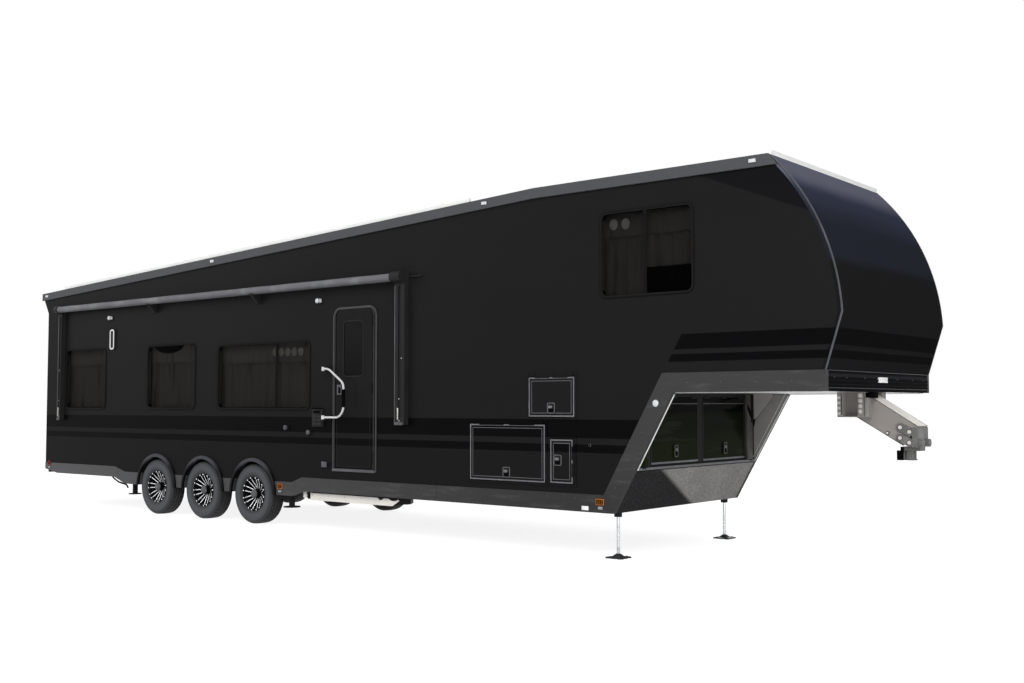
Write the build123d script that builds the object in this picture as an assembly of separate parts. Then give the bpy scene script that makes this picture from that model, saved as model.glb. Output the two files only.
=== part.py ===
from build123d import *
import math
import os

os.makedirs("parts", exist_ok=True)

# Fifth wheel trailer with a tall hollow body on three torsion axles, a raised gooseneck
# front with a curved nose, a fold-down rear ramp and a sprung arm with a ball coupler.
# Millimetres. Stations run forward (+X) from the rear wall, +Y is the left side, Z is the
# height above the ground. Every finished piece is shifted back by half the length, so that
# the origin lies on the ground under the middle of the trailer.

# Body shell
body_width = 2590.0
body_length = 10840.0
wall_thickness = 50.0
roof_thickness = 60.0
roof_front_z = 3860.0
roof_fall = 522.0
roof_bend_setback = 3254.0
tail_overhang = 157.0
tail_gusset_height = 328.0
neck_bottom_z = 1670.0
neck_length = 1574.0
slope_run = 690.0
belly_bottom_z = 461.0
band_height = 190.0
band_proud = 6.0
nose_thickness = 45.0
nose_top_setback = 524.0
nose_knuckle_reach = 161.0
nose_knuckle_rise = 511.0
nose_bulge_along = 0.708
nose_bulge_up = 0.543
fascia_height = 110.0
fascia_proud = 25.0
lip_height = 45.0
lip_thickness = 30.0
lip_start = 480.0
lip_stop = 920.0
wall_seam_share = 0.79

# Skirt: its top and bottom edges step down round the wheels
skirt_top_z = 645.0
skirt_bottom_z = 471.0
skirt_lift = 18.0
skirt_rear_z = 547.0
skirt_rear_run = 350.0
skirt_step = 70.0
low_rear_reach = 788.0
low_front_reach = 778.0
step_run_rear = 270.0
step_run_front = 200.0

# Floor and frame
floor_bottom_z = 645.0
floor_thickness = 90.0
rail_inset = 405.0
rail_width = 60.0
rail_height = 155.0
rail_setback = 60.0
cross_count = 10
cross_height = 110.0
cross_width = 50.0
cross_start = 100.0
cross_stop = 200.0
neck_floor_thickness = 60.0
neck_rail_y = 430.0
neck_beam_width = 60.0
neck_beam_shares = (0.162, 0.465, 0.818, 0.970)
skin_thickness = 10.0
bulkhead_foot_z = 885.0
guard_thickness = 20.0
ledge_depth = 22.0
ledge_height = 24.0
post_width = 70.0
post_depth = 30.0
gusset_length = 300.0
gusset_drop = 330.0
gusset_thickness = 14.0

# Running gear
tyre_radius = 390.0
tyre_half_width = 117.0
tyre_inset = 113.0
tyre_spacing_gap = 297.0
axle_count = 3
axle_group_share = 0.3778
wheel_sag = 15.0
seat_radius = 203.0
flange_radius = 222.0
rim_half = 88.0
bead_step = 6.0
flange_lip = 8.0
barrel_wall = 22.0
lip_depth = 42.0
spoke_count = 8
spoke_width = 16.0
spoke_root_radius = 60.0
spoke_root_spread = 7.0
spoke_tip_spread = 45.0
spoke_back = 28.0
spoke_front = 54.0
hub_radius = 58.0
hub_shoulder = 88.0
hub_face = 112.0
hub_back = 150.0
stud_ring_radius = 211.0
stud_radius = 8.0
stud_height = 6.0
spindle_radius = 22.0
running_gap = 0.05
arch_clearance = 42.0
fender_clearance = 35.0
fender_width = 45.0
fender_proud = 38.0
fender_edge = 12.0
tub_inset = 295.0
tub_height = 165.0
tub_sheet = 15.0
tub_margin = 40.0
tub_lift = 30.0
axle_tube = 90.0
axle_trail = 150.0
arm_thickness = 40.0
arm_height = 120.0
backing_radius = 165.0
backing_thickness = 20.0

# Windows
frame_flange = 28.0
frame_proud = 8.0
frame_lip = 10.0
pane_thickness = 6.0
pane_inset = 4.0
divider_width = 26.0
window_corner = 60.0
window_centre_share = 0.468

# Entry door
door_share = 0.6534
door_width = 625.0
door_bottom_z = 790.0
door_top_z = 2716.0
door_thickness = 52.0
door_proud = 6.0
door_gap = 9.0
door_corner = 90.0
door_flange = 10.0
door_flange_side = 65.0
door_flange_foot = 50.0
door_flange_head = 40.0
door_window_side = 135.0
door_window_width = 330.0
door_window_drop = 156.0
door_window_height = 655.0
door_window_corner = 50.0

# Hatches
hatch_thickness = 40.0
hatch_proud = 6.0
hatch_gap = 9.0
hatch_trim = 22.0

# Hinges: barrel radii, the leaf beside each barrel and the gaps that let them turn
door_barrel = 8.0
door_hinge_length = 120.0
hatch_barrel = 6.0
hatch_hinge_inset = 20.0
bay_hinge_inset = 40.0
ramp_barrel = 12.0
ramp_hinge_length = 300.0
leaf_length = 26.0
seat_gap = 0.3

# Bay doors
bay_outer_right = 270.0
bay_outer_left = 215.0
bay_inner_right = 25.0
bay_inner_left = 75.0
bay_foot_gap = 50.0
bay_head_gap = 45.0
bay_gap = 8.0
bay_door_thickness = 40.0
bay_pull_width = 70.0
bay_pull_height = 130.0
bay_pull_depth = 12.0

# Rear ramp
ramp_side_inset = 185.0
ramp_foot_rise = 45.0
ramp_head_drop = 150.0
ramp_thickness = 60.0
ramp_gap = 10.0
ramp_hinge_spread = 800.0

# Legs and jacks
leg_setback = 70.0
leg_inset = 190.0
jack_inset = 195.0
sleeve_radius = 40.0
sleeve_length = 230.0
rod_radius = 18.0
rod_gap = 0.3
rod_cover = 10.0
foot_plate_radius = 112.0
foot_lobe_radius = 38.0
foot_thickness = 14.0
foot_boss_radius = 60.0
foot_boss_height = 30.0
jack_radius = 38.0
jack_foot_z = 235.0
jack_foot_thickness = 12.0

# Hitch
coupler_reach = 266.0
head_reach = 155.0
arm_half_width = 130.0
arm_root = 304.0
arm_root_drop = 15.0
coupler_radius = 52.0
coupler_flange = 10.0
coupler_rib = 4.0
coupler_bottom_z = 1022.0
coupler_height = 90.0
socket_radius = 30.0
socket_depth = 62.0
link_radius = 38.0
link_thickness = 18.0
cheek_thickness = 12.0
cheek_width = 90.0
cheek_drop = 242.0
cheek_rear = 317.0
cheek_front = 54.0

# Awning
awning_drop = 298.0
tube_radius = 50.0
tube_stand_off = 112.0
tube_rear_x = 520.0
tube_door_reach = 435.0
awning_arm_share = 0.2538
awning_arm_depth = 70.0
head_half_height = 62.0
head_wall = 6.0
slot_width = 40.0
slot_depth = 14.0
cradle_width = 40.0
cradle_height = 110.0
cradle_shares = (0.332, 0.650)
rail_stub_length = 220.0
rail_stub_radius = 9.0

# Roof units, lamps, handle, step, curtains
roof_unit_height = 200.0
roof_unit_half_width = 340.0
roof_unit_half_length = 480.0
roof_unit_lean = 90.0
roof_unit_shares = (0.240, 0.664, 1.052)
lens_depth = 10.0
tail_lamp_width = 70.0
tail_lamp_height = 170.0
tail_lamp_z = 1180.0
handle_setback = 135.0
handle_stand_off = 100.0
handle_radius = 13.0
handle_socket_radius = 20.0
handle_socket_half = 25.0
handle_foot_z = 1398.0
handle_height = 594.0
handle_out = 365.0
handle_shoulder = 95.0
bracket_half = 22.0
bracket_ear = 11.0
bracket_web = 45.0
step_top_z = 455.0
step_height = 80.0
step_sheet = 20.0
step_inner_inset = 435.0
step_outer_inset = 55.0
step_front_reach = 385.0
step_nose = 120.0
step_hanger = 60.0
curtain_gap = 40.0
curtain_thickness = 20.0
curtain_rail_radius = 8.0
curtain_rail_rise = 48.0

# Worked out from the sizes above
half_width = body_width / 2
inner_y = half_width - wall_thickness
right_y = -half_width
slope_rise = neck_bottom_z - belly_bottom_z
slope_lean = slope_run / slope_rise
slope_length = math.hypot(slope_run, slope_rise)
neck_corner_x = body_length + slope_run
nose_foot_x = neck_corner_x + neck_length
nose_knuckle_x = nose_foot_x + nose_knuckle_reach
nose_top_x = nose_foot_x - nose_top_setback
band_top_z = neck_bottom_z + band_height
nose_knuckle_z = band_top_z + nose_knuckle_rise
nose_bulge_x = nose_top_x + (nose_knuckle_x - nose_top_x) * nose_bulge_along
nose_bulge_z = nose_knuckle_z + (roof_front_z - nose_knuckle_z) * nose_bulge_up
roof_bend_x = nose_foot_x - roof_bend_setback
roof_rear_z = roof_front_z - roof_fall
roof_slope = roof_fall / roof_bend_x
tail_gusset_z = roof_rear_z - tail_gusset_height
floor_top_z = floor_bottom_z + floor_thickness
rail_y = half_width - rail_inset
rail_bottom_z = floor_bottom_z - rail_height
rail_front_x = body_length - rail_setback
low_top_z = skirt_top_z - skirt_step
low_bottom_z = skirt_bottom_z - skirt_step
tyre_y = half_width - tyre_inset
axle_spacing = 2 * tyre_radius + tyre_spacing_gap
middle_axle_x = body_length * axle_group_share
axle_stations = [middle_axle_x + (n - 1) * axle_spacing for n in range(axle_count)]
arch_stations = [x + wheel_sag for x in axle_stations]
arch_radius = tyre_radius + arch_clearance
fender_bore = tyre_radius + fender_clearance
fender_radius = fender_bore + fender_width
low_rear_x = axle_stations[0] - low_rear_reach
low_front_x = axle_stations[-1] + low_front_reach
tub_inner_y = half_width - tub_inset
tub_top_z = floor_top_z + tub_height
door_rear_x = body_length * door_share - door_width / 2
door_front_x = door_rear_x + door_width
tube_z = roof_rear_z - awning_drop
tube_y = right_y - tube_stand_off
tube_front_x = door_front_x + tube_door_reach
window_centre_z = floor_top_z + (roof_rear_z - floor_top_z) * window_centre_share
leg_x = body_length - leg_setback
leg_y = half_width - leg_inset
coupler_x = nose_foot_x + coupler_reach
hitch_front_x = coupler_x + head_reach
coupler_top_z = coupler_bottom_z + coupler_height
origin_x = (hitch_front_x - tail_overhang) / 2
sides = {"right": -1, "left": 1}


def roof_z(x):
    """Top of the roof edge at a station."""
    return roof_front_z - max(0.0, roof_bend_x - x) * roof_slope


def slope_x(z, inset=0.0):
    """Station of the sloping front edge at a height, set back square to the slope."""
    setback = inset * slope_length / slope_rise
    return body_length + (z - belly_bottom_z) * slope_lean - setback


def block(x0, x1, y0, y1, z0, z1):
    """A box between two corners, given in either order along Y."""
    size = (x1 - x0, abs(y1 - y0), z1 - z0)
    return Pos((x0 + x1) / 2, (y0 + y1) / 2, (z0 + z1) / 2) * Box(*size)


def plate(points, y0, y1):
    """A flat plate with its outline in X and Z, between two Y planes in either order."""
    low, high = min(y0, y1), max(y0, y1)
    wire = Polyline(*[(x, low, z) for x, z in points], close=True)
    return extrude(make_face(wire), amount=high - low, dir=(0, 1, 0))


def rod(radius, start, end):
    """A round bar between two points."""
    line = Vector(*end) - Vector(*start)
    plane = Plane(origin=start, z_dir=line)
    return extrude(plane * Circle(radius), amount=line.length)


def spun_y(profile, x, y, z, outward):
    """A turned piece on a Y axis, from (radius, distance outwards) points."""
    wire = Polyline(*[(r, d, 0) for r, d in profile], close=True)
    turned = revolve(make_face(wire), axis=Axis.Y)
    if outward < 0:
        turned = turned.rotate(Axis.X, 180)
    return Pos(x, y, z) * turned


def spun_z(profile, x, y):
    """A turned piece on a Z axis, from (radius, height) points."""
    wire = Polyline(*[(r, 0, h) for r, h in profile], close=True)
    return Pos(x, y, 0) * revolve(make_face(wire), axis=Axis.Z)


def rounded_hole(x0, x1, z0, z1, corner, y0, y1):
    """A rounded rectangle in X and Z, extruded between two Y planes."""
    plane = Plane(origin=((x0 + x1) / 2, y0, (z0 + z1) / 2), x_dir=(1, 0, 0), z_dir=(0, -1, 0))
    face = plane * RectangleRounded(x1 - x0, z1 - z0, corner)
    return extrude(face, amount=y1 - y0, dir=(0, 1, 0))


def doorway(x0, x1, z0, z1, corner, y0, y1):
    """A rounded rectangle whose two lower corners are square."""
    square_foot = block(x0, x1, y0, y1, z0, z0 + 2 * corner)
    return rounded_hole(x0, x1, z0, z1, corner, y0, y1) + square_foot


def hinge(radius, start, end, fixed_face, fixed_way, moving_face, moving_way, out, shares):
    """Barrels on one line and the leaf beside each: the fixed pieces and the moving ones.

    A face is a point on the surface that its leaves lie on. A way points from the line
    along that surface, and out points away from the trailer. Shares split the length.
    """
    line = Vector(*end) - Vector(*start)
    along = line.normalized()
    made = [None, None]
    for n, (a, b) in enumerate(shares):
        moves = n % 2
        first = Vector(*start) + along * (line.length * a + seat_gap / 2)
        last = Vector(*start) + along * (line.length * b - seat_gap / 2)
        face = moving_face if moves else fixed_face
        way = moving_way if moves else fixed_way
        depth = abs((Vector(*face) - first).dot(Vector(*out)))
        corner = last + Vector(*way) * leaf_length - Vector(*out) * depth
        low = [min(pair) for pair in zip(first, corner)]
        high = [max(pair) for pair in zip(first, corner)]
        piece = rod(radius, tuple(first), tuple(last))
        piece += block(low[0], high[0], low[1], high[1], low[2], high[2])
        made[moves] = piece if made[moves] is None else made[moves] + piece
    return made


def mirrored(shape):
    """The same piece on the other side of the trailer."""
    return mirror(shape, about=Plane.XZ)


def save(name, shapes):
    """One file for one named piece, moved to the trailer's own origin."""
    solids = [solid for shape in shapes for solid in shape.solids()]
    moved = [Pos(-origin_x, 0, 0) * solid for solid in solids]
    whole = moved[0] if len(moved) == 1 else Compound(children=moved)
    export_step(whole, "parts/" + name + ".step")
    return whole


def body_face(y, setback=0.0):
    """The body's side view at one Y, with the nose set back by its own thickness."""
    under = roof_thickness
    top_x = nose_top_x - setback
    ledge = 1.0
    bulge = ThreePointArc(
        (top_x, y, roof_front_z),
        (nose_bulge_x - setback, y, nose_bulge_z),
        (nose_knuckle_x - setback, y, nose_knuckle_z),
    )
    rest = Polyline(
        (nose_knuckle_x - setback, y, nose_knuckle_z),
        (nose_foot_x - setback, y, band_top_z),
        (slope_x(band_top_z, band_height), y, band_top_z),
        (slope_x(skirt_top_z, band_height), y, skirt_top_z),
        (low_front_x + step_run_front, y, skirt_top_z),
        (low_front_x, y, low_top_z),
        (low_rear_x, y, low_top_z),
        (low_rear_x - step_run_rear, y, skirt_top_z),
        (0, y, skirt_top_z),
        (0, y, tail_gusset_z),
        (-tail_overhang, y, roof_z(-tail_overhang) - under),
        (roof_bend_x, y, roof_front_z - under),
        (top_x - ledge, y, roof_front_z - under),
        (top_x - ledge, y, roof_front_z),
        (top_x, y, roof_front_z),
    )
    return make_face(Wire(bulge.edges() + rest.edges()))


# Windows: rear station, front station, height of the centre, height, divider's share of
# the length (0 for none). Heads and sills follow from the centre and the height.
window_columns = ("x0", "x1", "z", "height", "divider")
galley_x = body_length * 0.3074
dinette_x = body_length * 0.4929
window_rows = {
    "lounge": (585.0, 1660.0, window_centre_z, 883.0, 0),
    "galley": (galley_x - 552.0, galley_x + 553.0, window_centre_z, 873.0, 0),
    "dinette": (dinette_x - 918.0, dinette_x + 919.0, window_centre_z - 24.0, 828.0, 0.66),
    "bedroom": (neck_corner_x - 812.0, neck_corner_x + 232.0, roof_front_z - 795.0, 830.0, 0.5),
}
windows = {name: dict(zip(window_columns, row)) for name, row in window_rows.items()}
for w in windows.values():
    w["z0"] = w["z"] - w["height"] / 2
    w["z1"] = w["z"] + w["height"] / 2
sill_z = windows["lounge"]["z0"]

# Hatches in the side walls, measured back from the foot of the slope: front edge, length,
# foot, height. The left side has only the ones that are listed.
hatch_columns = ("back", "length", "z0", "height")
hatch_rows = {
    "upper": (471.0, 598.0, 1424.0, 428.0),
    "large": (853.0, 1040.0, 735.0, 619.0),
    "narrow": (482.0, 302.0, 738.0, 454.0),
}
hatches = {name: dict(zip(hatch_columns, row)) for name, row in hatch_rows.items()}
for h in hatches.values():
    h["x1"] = body_length - h["back"]
    h["x0"] = h["x1"] - h["length"]
    h["z1"] = h["z0"] + h["height"]
left_hatches = ["large"]

# How a hinge line is shared out: fixed and moving barrels in turn
long_hinge = [(0.0, 0.12), (0.12, 0.46), (0.46, 0.54), (0.54, 0.88), (0.88, 1.0)]
short_hinge = [(0.0, 0.3), (0.3, 0.7), (0.7, 1.0)]


def wall_openings(side):
    """Everything that is cut out of one side wall."""
    y0 = half_width * side - 2 * wall_thickness
    y1 = half_width * side + 2 * wall_thickness
    cuts = []
    for w in windows.values():
        cuts.append(rounded_hole(w["x0"] - frame_lip, w["x1"] + frame_lip, w["z0"] - frame_lip,
                                 w["z1"] + frame_lip, window_corner + frame_lip, y0, y1))
    for name, h in hatches.items():
        if side < 0 or name in left_hatches:
            grow = hatch_gap + hatch_trim / 2
            cuts.append(block(h["x0"] - grow, h["x1"] + grow, y0, y1,
                              h["z0"] - grow, h["z1"] + grow))
    if side < 0:
        grow = door_gap + frame_lip
        cuts.append(doorway(door_rear_x - grow, door_front_x + grow, door_bottom_z - grow,
                            door_top_z + grow, door_corner + grow, y0, y1))
    for x in arch_stations:
        cuts.append(rod(arch_radius, (x, y0, tyre_radius), (x, y1, tyre_radius)))
    return cuts


# Side walls, each in two panels that meet at an upright seam. The roof lies on them.
seam_x = body_length * wall_seam_share
seams = {"rear": (-2 * tail_overhang, seam_x), "front": (seam_x, nose_knuckle_x + nose_thickness)}
above_walls = block(-2 * tail_overhang, nose_knuckle_x, -body_width, body_width,
                    roof_front_z - roof_thickness, roof_front_z + roof_thickness)
for side_name, side in sides.items():
    whole_wall = extrude(body_face(half_width * side, nose_thickness), amount=wall_thickness,
                         dir=(0, -side, 0))
    whole_wall -= above_walls
    for cut in wall_openings(side):
        whole_wall -= cut
    for part_name, (x0, x1) in seams.items():
        panel = whole_wall & block(x0, x1, -half_width, half_width, 0, roof_front_z)
        save("wall_" + side_name + "_" + part_name, [panel])

# Roof panel with a raised membrane edge along both sides and over the nose
roof_points = [
    (-tail_overhang, roof_z(-tail_overhang)),
    (roof_bend_x, roof_front_z),
    (nose_top_x, roof_front_z),
    (nose_top_x, roof_front_z - roof_thickness),
    (roof_bend_x, roof_front_z - roof_thickness),
    (-tail_overhang, roof_z(-tail_overhang) - roof_thickness),
]
roof = plate(roof_points, -half_width, half_width)
lip_front_x = roof_bend_x - lip_stop
lip_points = [
    (lip_start, roof_z(lip_start)),
    (lip_front_x, roof_z(lip_front_x)),
    (lip_front_x, roof_z(lip_front_x) + lip_height),
    (lip_start, roof_z(lip_start) + lip_height),
]
lip_outer = half_width + band_proud
for side in sides.values():
    roof += plate(lip_points, side * lip_outer, side * (lip_outer - lip_thickness))
roof += block(nose_top_x - lip_thickness, nose_top_x, -half_width + wall_thickness, half_width,
              roof_front_z, roof_front_z + lip_height)
save("roof_panel", [roof])

# Nose shell: the curved front between the side walls' edges, under the roof panel
nose_outer = extrude(body_face(-half_width), amount=body_width, dir=(0, 1, 0))
nose_inner = extrude(body_face(-body_width, nose_thickness), amount=2 * body_width, dir=(0, 1, 0))
nose_zone = block(nose_top_x - wall_thickness, nose_knuckle_x + nose_thickness, -half_width,
                  half_width, band_top_z, roof_front_z)
nose = (nose_outer - nose_inner) & nose_zone
nose -= block(0, nose_top_x, -body_width, body_width, roof_front_z - roof_thickness - band_proud,
              roof_front_z + lip_height)
save("nose_shell", [nose])

# Fascia along both roof edges
fascia_points = [
    (-tail_overhang, roof_z(-tail_overhang)),
    (roof_bend_x, roof_front_z),
    (nose_top_x, roof_front_z),
    (nose_top_x + fascia_height * 0.8, roof_front_z - fascia_height),
    (roof_bend_x, roof_front_z - fascia_height),
    (-tail_overhang, roof_z(-tail_overhang) - fascia_height),
]
fascia_right = plate(fascia_points, -half_width - fascia_proud, -half_width)
save("roof_fascia", [fascia_right, mirrored(fascia_right)])

# Skirt: one formed band from the rear corner, round the wheels, up the slope to the nose
skirt_points = [
    (0, skirt_rear_z),
    (skirt_rear_run, skirt_bottom_z + skirt_lift),
    (low_rear_x - step_run_rear, skirt_bottom_z + skirt_lift),
    (low_rear_x, low_bottom_z),
    (low_front_x, low_bottom_z),
    (low_front_x + step_run_front, skirt_bottom_z),
    (body_length, belly_bottom_z),
    (neck_corner_x, neck_bottom_z),
    (nose_foot_x, neck_bottom_z),
    (nose_foot_x, band_top_z),
    (slope_x(band_top_z, band_height), band_top_z),
    (slope_x(skirt_top_z, band_height), skirt_top_z),
    (low_front_x + step_run_front, skirt_top_z),
    (low_front_x, low_top_z),
    (low_rear_x, low_top_z),
    (low_rear_x - step_run_rear, skirt_top_z),
    (0, skirt_top_z),
]
skirt_right = plate(skirt_points, -half_width - band_proud, -inner_y)
for x in arch_stations:
    skirt_right -= rod(arch_radius, (x, -body_width, tyre_radius), (x, 0, tyre_radius))
save("body_skirts", [skirt_right, mirrored(skirt_right)])

# Ribbed band under the nose
rib_count = 3
rib_height = 14.0
rib_depth = 8.0
rib_pitch = 33.0
rib_rise = 42.0
nose_band = block(nose_foot_x - nose_thickness, nose_foot_x, -inner_y, inner_y,
                  neck_bottom_z, band_top_z)
for n in range(rib_count):
    z = neck_bottom_z + rib_rise + n * rib_pitch
    nose_band += block(nose_foot_x, nose_foot_x + rib_depth, -inner_y, inner_y, z, z + rib_height)
save("nose_band", [nose_band])

# Wheel tubs and the main floor round them
tub_x0 = arch_stations[0] - arch_radius - tub_margin
tub_x1 = arch_stations[-1] + arch_radius + tub_margin
tub_right = block(tub_x0, tub_x1, -inner_y, -tub_inner_y, low_top_z + tub_lift, tub_top_z)
tub_right -= block(tub_x0 + tub_sheet, tub_x1 - tub_sheet, -half_width, -tub_inner_y - tub_sheet,
                   0, tub_top_z - tub_sheet)
save("wheel_tubs", [tub_right, mirrored(tub_right)])
floor_points = [
    (wall_thickness, floor_bottom_z),
    (slope_x(floor_bottom_z, guard_thickness), floor_bottom_z),
    (slope_x(floor_top_z, guard_thickness), floor_top_z),
    (wall_thickness, floor_top_z),
]
floor = plate(floor_points, -inner_y, inner_y)
for side in sides.values():
    floor -= block(tub_x0, tub_x1, side * tub_inner_y, side * half_width, 0, tub_top_z)
save("main_floor", [floor])

# Chassis: two long rails, crossmembers between them and outriggers to the skirt
cross_pitch = (body_length - cross_stop - cross_start) / (cross_count - 1)
cross_stations = [cross_start + n * cross_pitch for n in range(cross_count)]
rails = []
for side in sides.values():
    y0 = side * rail_y - rail_width / 2
    beam = block(wall_thickness, rail_front_x, y0, y0 + rail_width, rail_bottom_z, floor_bottom_z)
    for x in cross_stations:
        if x + cross_width < tub_x0 or x - cross_width > tub_x1:
            beam += block(x - cross_width / 2, x + cross_width / 2, side * rail_y, side * inner_y,
                          floor_bottom_z - cross_height, floor_bottom_z)
    rails.append(beam)
chassis = rails[0] + rails[1]
for x in cross_stations:
    chassis += block(x - cross_width / 2, x + cross_width / 2, -rail_y, rail_y,
                     floor_bottom_z - cross_height, floor_bottom_z)
save("chassis_frame", [chassis])

# Gooseneck: floor, rails and cross beams, and the skin below them
bulkhead_x = slope_x(bulkhead_foot_z) - 2.0
neck_front_x = nose_foot_x - nose_thickness
neck_floor_z = band_top_z - neck_floor_thickness
neck_skin_z = neck_bottom_z + skin_thickness
save("neck_floor", [block(bulkhead_x - wall_thickness, neck_front_x, -inner_y, inner_y,
                          neck_floor_z, band_top_z)])
neck_frame = block(bulkhead_x, neck_front_x, -inner_y, inner_y, neck_bottom_z, neck_skin_z)
for side in sides.values():
    y0 = side * neck_rail_y - neck_beam_width / 2
    neck_frame += block(bulkhead_x, neck_front_x, y0, y0 + neck_beam_width, neck_skin_z,
                        neck_floor_z)
for share in neck_beam_shares:
    x = bulkhead_x + (neck_front_x - bulkhead_x) * share
    neck_frame += block(x - neck_beam_width / 2, x + neck_beam_width / 2, -inner_y, inner_y,
                        neck_skin_z, neck_floor_z)
save("neck_frame", [neck_frame])

# Bulkhead under the gooseneck with a post and a gusset at each side, its two lift-up
# doors, and the sloping guard below it
bay_table = {
    "right": (-inner_y + bay_outer_right, -bay_inner_right),
    "left": (bay_inner_left, inner_y - bay_outer_left),
}
bay_foot_z = bulkhead_foot_z + bay_foot_gap
bay_head_z = neck_bottom_z - bay_head_gap
bulkhead = block(bulkhead_x - wall_thickness, bulkhead_x, -inner_y, inner_y,
                 bulkhead_foot_z, neck_floor_z)
bulkhead -= block(bulkhead_x - 1, bulkhead_x, -inner_y, inner_y, neck_bottom_z, neck_floor_z)
for y0, y1 in bay_table.values():
    bulkhead -= block(bulkhead_x - 2 * wall_thickness, bulkhead_x + wall_thickness, y0, y1,
                      bay_foot_z, bay_head_z)
bulkhead += block(bulkhead_x, bulkhead_x + ledge_depth, -inner_y, inner_y,
                  bulkhead_foot_z + ledge_height / 2, bulkhead_foot_z + ledge_height * 1.5)
gusset_points = [
    (bulkhead_x, neck_bottom_z - gusset_drop),
    (bulkhead_x + post_depth, neck_bottom_z - gusset_drop),
    (bulkhead_x + gusset_length, neck_bottom_z - post_depth),
    (bulkhead_x + gusset_length, neck_bottom_z),
    (bulkhead_x, neck_bottom_z),
]
for side in sides.values():
    post_y = side * (inner_y - (bay_outer_left - post_width) / 2)
    bulkhead += block(bulkhead_x, bulkhead_x + post_depth, post_y, post_y - side * post_width,
                      bulkhead_foot_z + ledge_height, neck_bottom_z)
    gusset_y = post_y - side * (post_width - gusset_thickness) / 2
    bulkhead += plate(gusset_points, gusset_y, gusset_y - side * gusset_thickness)
for side_name, (y0, y1) in bay_table.items():
    panel = block(bulkhead_x - bay_door_thickness, bulkhead_x, y0 + bay_gap,
                  y1 - bay_gap, bay_foot_z + bay_gap, bay_head_z - bay_gap)
    middle = (y0 + y1) / 2
    panel += block(bulkhead_x, bulkhead_x + bay_pull_depth, middle - bay_pull_width / 2,
                   middle + bay_pull_width / 2, bay_foot_z + bay_pull_width,
                   bay_foot_z + bay_pull_width + bay_pull_height)
    line_x = bulkhead_x + hatch_barrel + seat_gap
    line_z = bay_head_z - bay_gap / 2
    fixed, moving = hinge(hatch_barrel, (line_x, y0 + bay_hinge_inset, line_z),
                          (line_x, y1 - bay_hinge_inset, line_z),
                          (bulkhead_x, 0, 0), (0, 0, 1), (bulkhead_x, 0, 0), (0, 0, -1),
                          (1, 0, 0), long_hinge)
    bulkhead += fixed
    save("bay_door_" + side_name, [panel + moving])
save("neck_bulkhead", [bulkhead])
guard_points = [
    (slope_x(belly_bottom_z), belly_bottom_z),
    (slope_x(bulkhead_foot_z), bulkhead_foot_z),
    (slope_x(bulkhead_foot_z, guard_thickness), bulkhead_foot_z),
    (slope_x(belly_bottom_z, guard_thickness), belly_bottom_z),
]
save("front_guard", [plate(guard_points, -inner_y, inner_y)])

# Window frames with their dividers, and the panes behind them
window_frames = []
panes = []
for side in sides.values():
    outer = half_width * side
    for w in windows.values():
        x0, x1, z0, z1 = w["x0"], w["x1"], w["z0"], w["z1"]
        flange_y = sorted((outer, outer + frame_proud * side))
        neck_y = sorted((outer, outer - wall_thickness * side))
        flange = rounded_hole(x0 - frame_flange, x1 + frame_flange, z0 - frame_flange,
                              z1 + frame_flange, window_corner + frame_flange, *flange_y)
        neck = rounded_hole(x0 - frame_lip, x1 + frame_lip, z0 - frame_lip, z1 + frame_lip,
                            window_corner + frame_lip, *neck_y)
        opening = rounded_hole(x0, x1, z0, z1, window_corner, neck_y[0] - wall_thickness,
                               neck_y[1] + wall_thickness)
        window_frame = flange + neck - opening
        if w["divider"]:
            x = x0 + (x1 - x0) * w["divider"]
            window_frame += block(x - divider_width / 2, x + divider_width / 2,
                                  outer + side * pane_inset, outer - side * pane_inset * 0.9,
                                  z0 - frame_lip / 2, z1 + frame_lip / 2)
        window_frames.append(window_frame)
        pane_y = sorted((outer - pane_inset * side, outer - (pane_inset + pane_thickness) * side))
        panes.append(rounded_hole(x0, x1, z0, z1, window_corner, *pane_y))
save("window_glass", panes)

# Entry door: frame in the wall, panel with its window, pane
door_outer = right_y - door_proud
door_inner = door_outer + door_thickness
door_line = (door_front_x + door_gap / 2, right_y - door_flange - door_barrel - seat_gap)
flange = doorway(door_rear_x - door_flange_side, door_front_x + door_flange_side,
                 door_bottom_z - door_flange_foot, door_top_z + door_flange_head,
                 door_corner + door_flange_head, right_y - door_flange, right_y)
neck = doorway(door_rear_x - door_gap - frame_lip, door_front_x + door_gap + frame_lip,
               door_bottom_z - door_gap - frame_lip, door_top_z + door_gap + frame_lip,
               door_corner + door_gap + frame_lip, right_y, right_y + wall_thickness)
opening = doorway(door_rear_x - door_gap, door_front_x + door_gap, door_bottom_z - door_gap,
                  door_top_z + door_gap, door_corner + door_gap, right_y - wall_thickness,
                  right_y + 2 * wall_thickness)
door_frame = flange + neck - opening
door = doorway(door_rear_x, door_front_x, door_bottom_z, door_top_z, door_corner, door_outer,
               door_inner)
pane_x0 = door_rear_x + door_window_side
pane_z1 = door_top_z - door_window_drop
pane_size = (pane_x0, pane_x0 + door_window_width, pane_z1 - door_window_height, pane_z1,
             door_window_corner)
door -= rounded_hole(*pane_size, door_outer - wall_thickness, door_inner + wall_thickness)
door_hinge_z = (door_bottom_z + door_window_side, (door_bottom_z + door_top_z) / 2,
                door_top_z - door_window_drop)
for z in door_hinge_z:
    fixed, moving = hinge(door_barrel, (*door_line, z - door_hinge_length / 2),
                          (*door_line, z + door_hinge_length / 2),
                          (0, right_y - door_flange, 0), (1, 0, 0), (0, door_outer, 0), (-1, 0, 0),
                          (0, -1, 0), short_hinge)
    door_frame += fixed
    door += moving
save("door_frame", [door_frame])
save("entry_door", [door])
save("door_glass", [rounded_hole(*pane_size, door_outer + pane_inset,
                                 door_outer + pane_inset + pane_thickness)])

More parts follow.
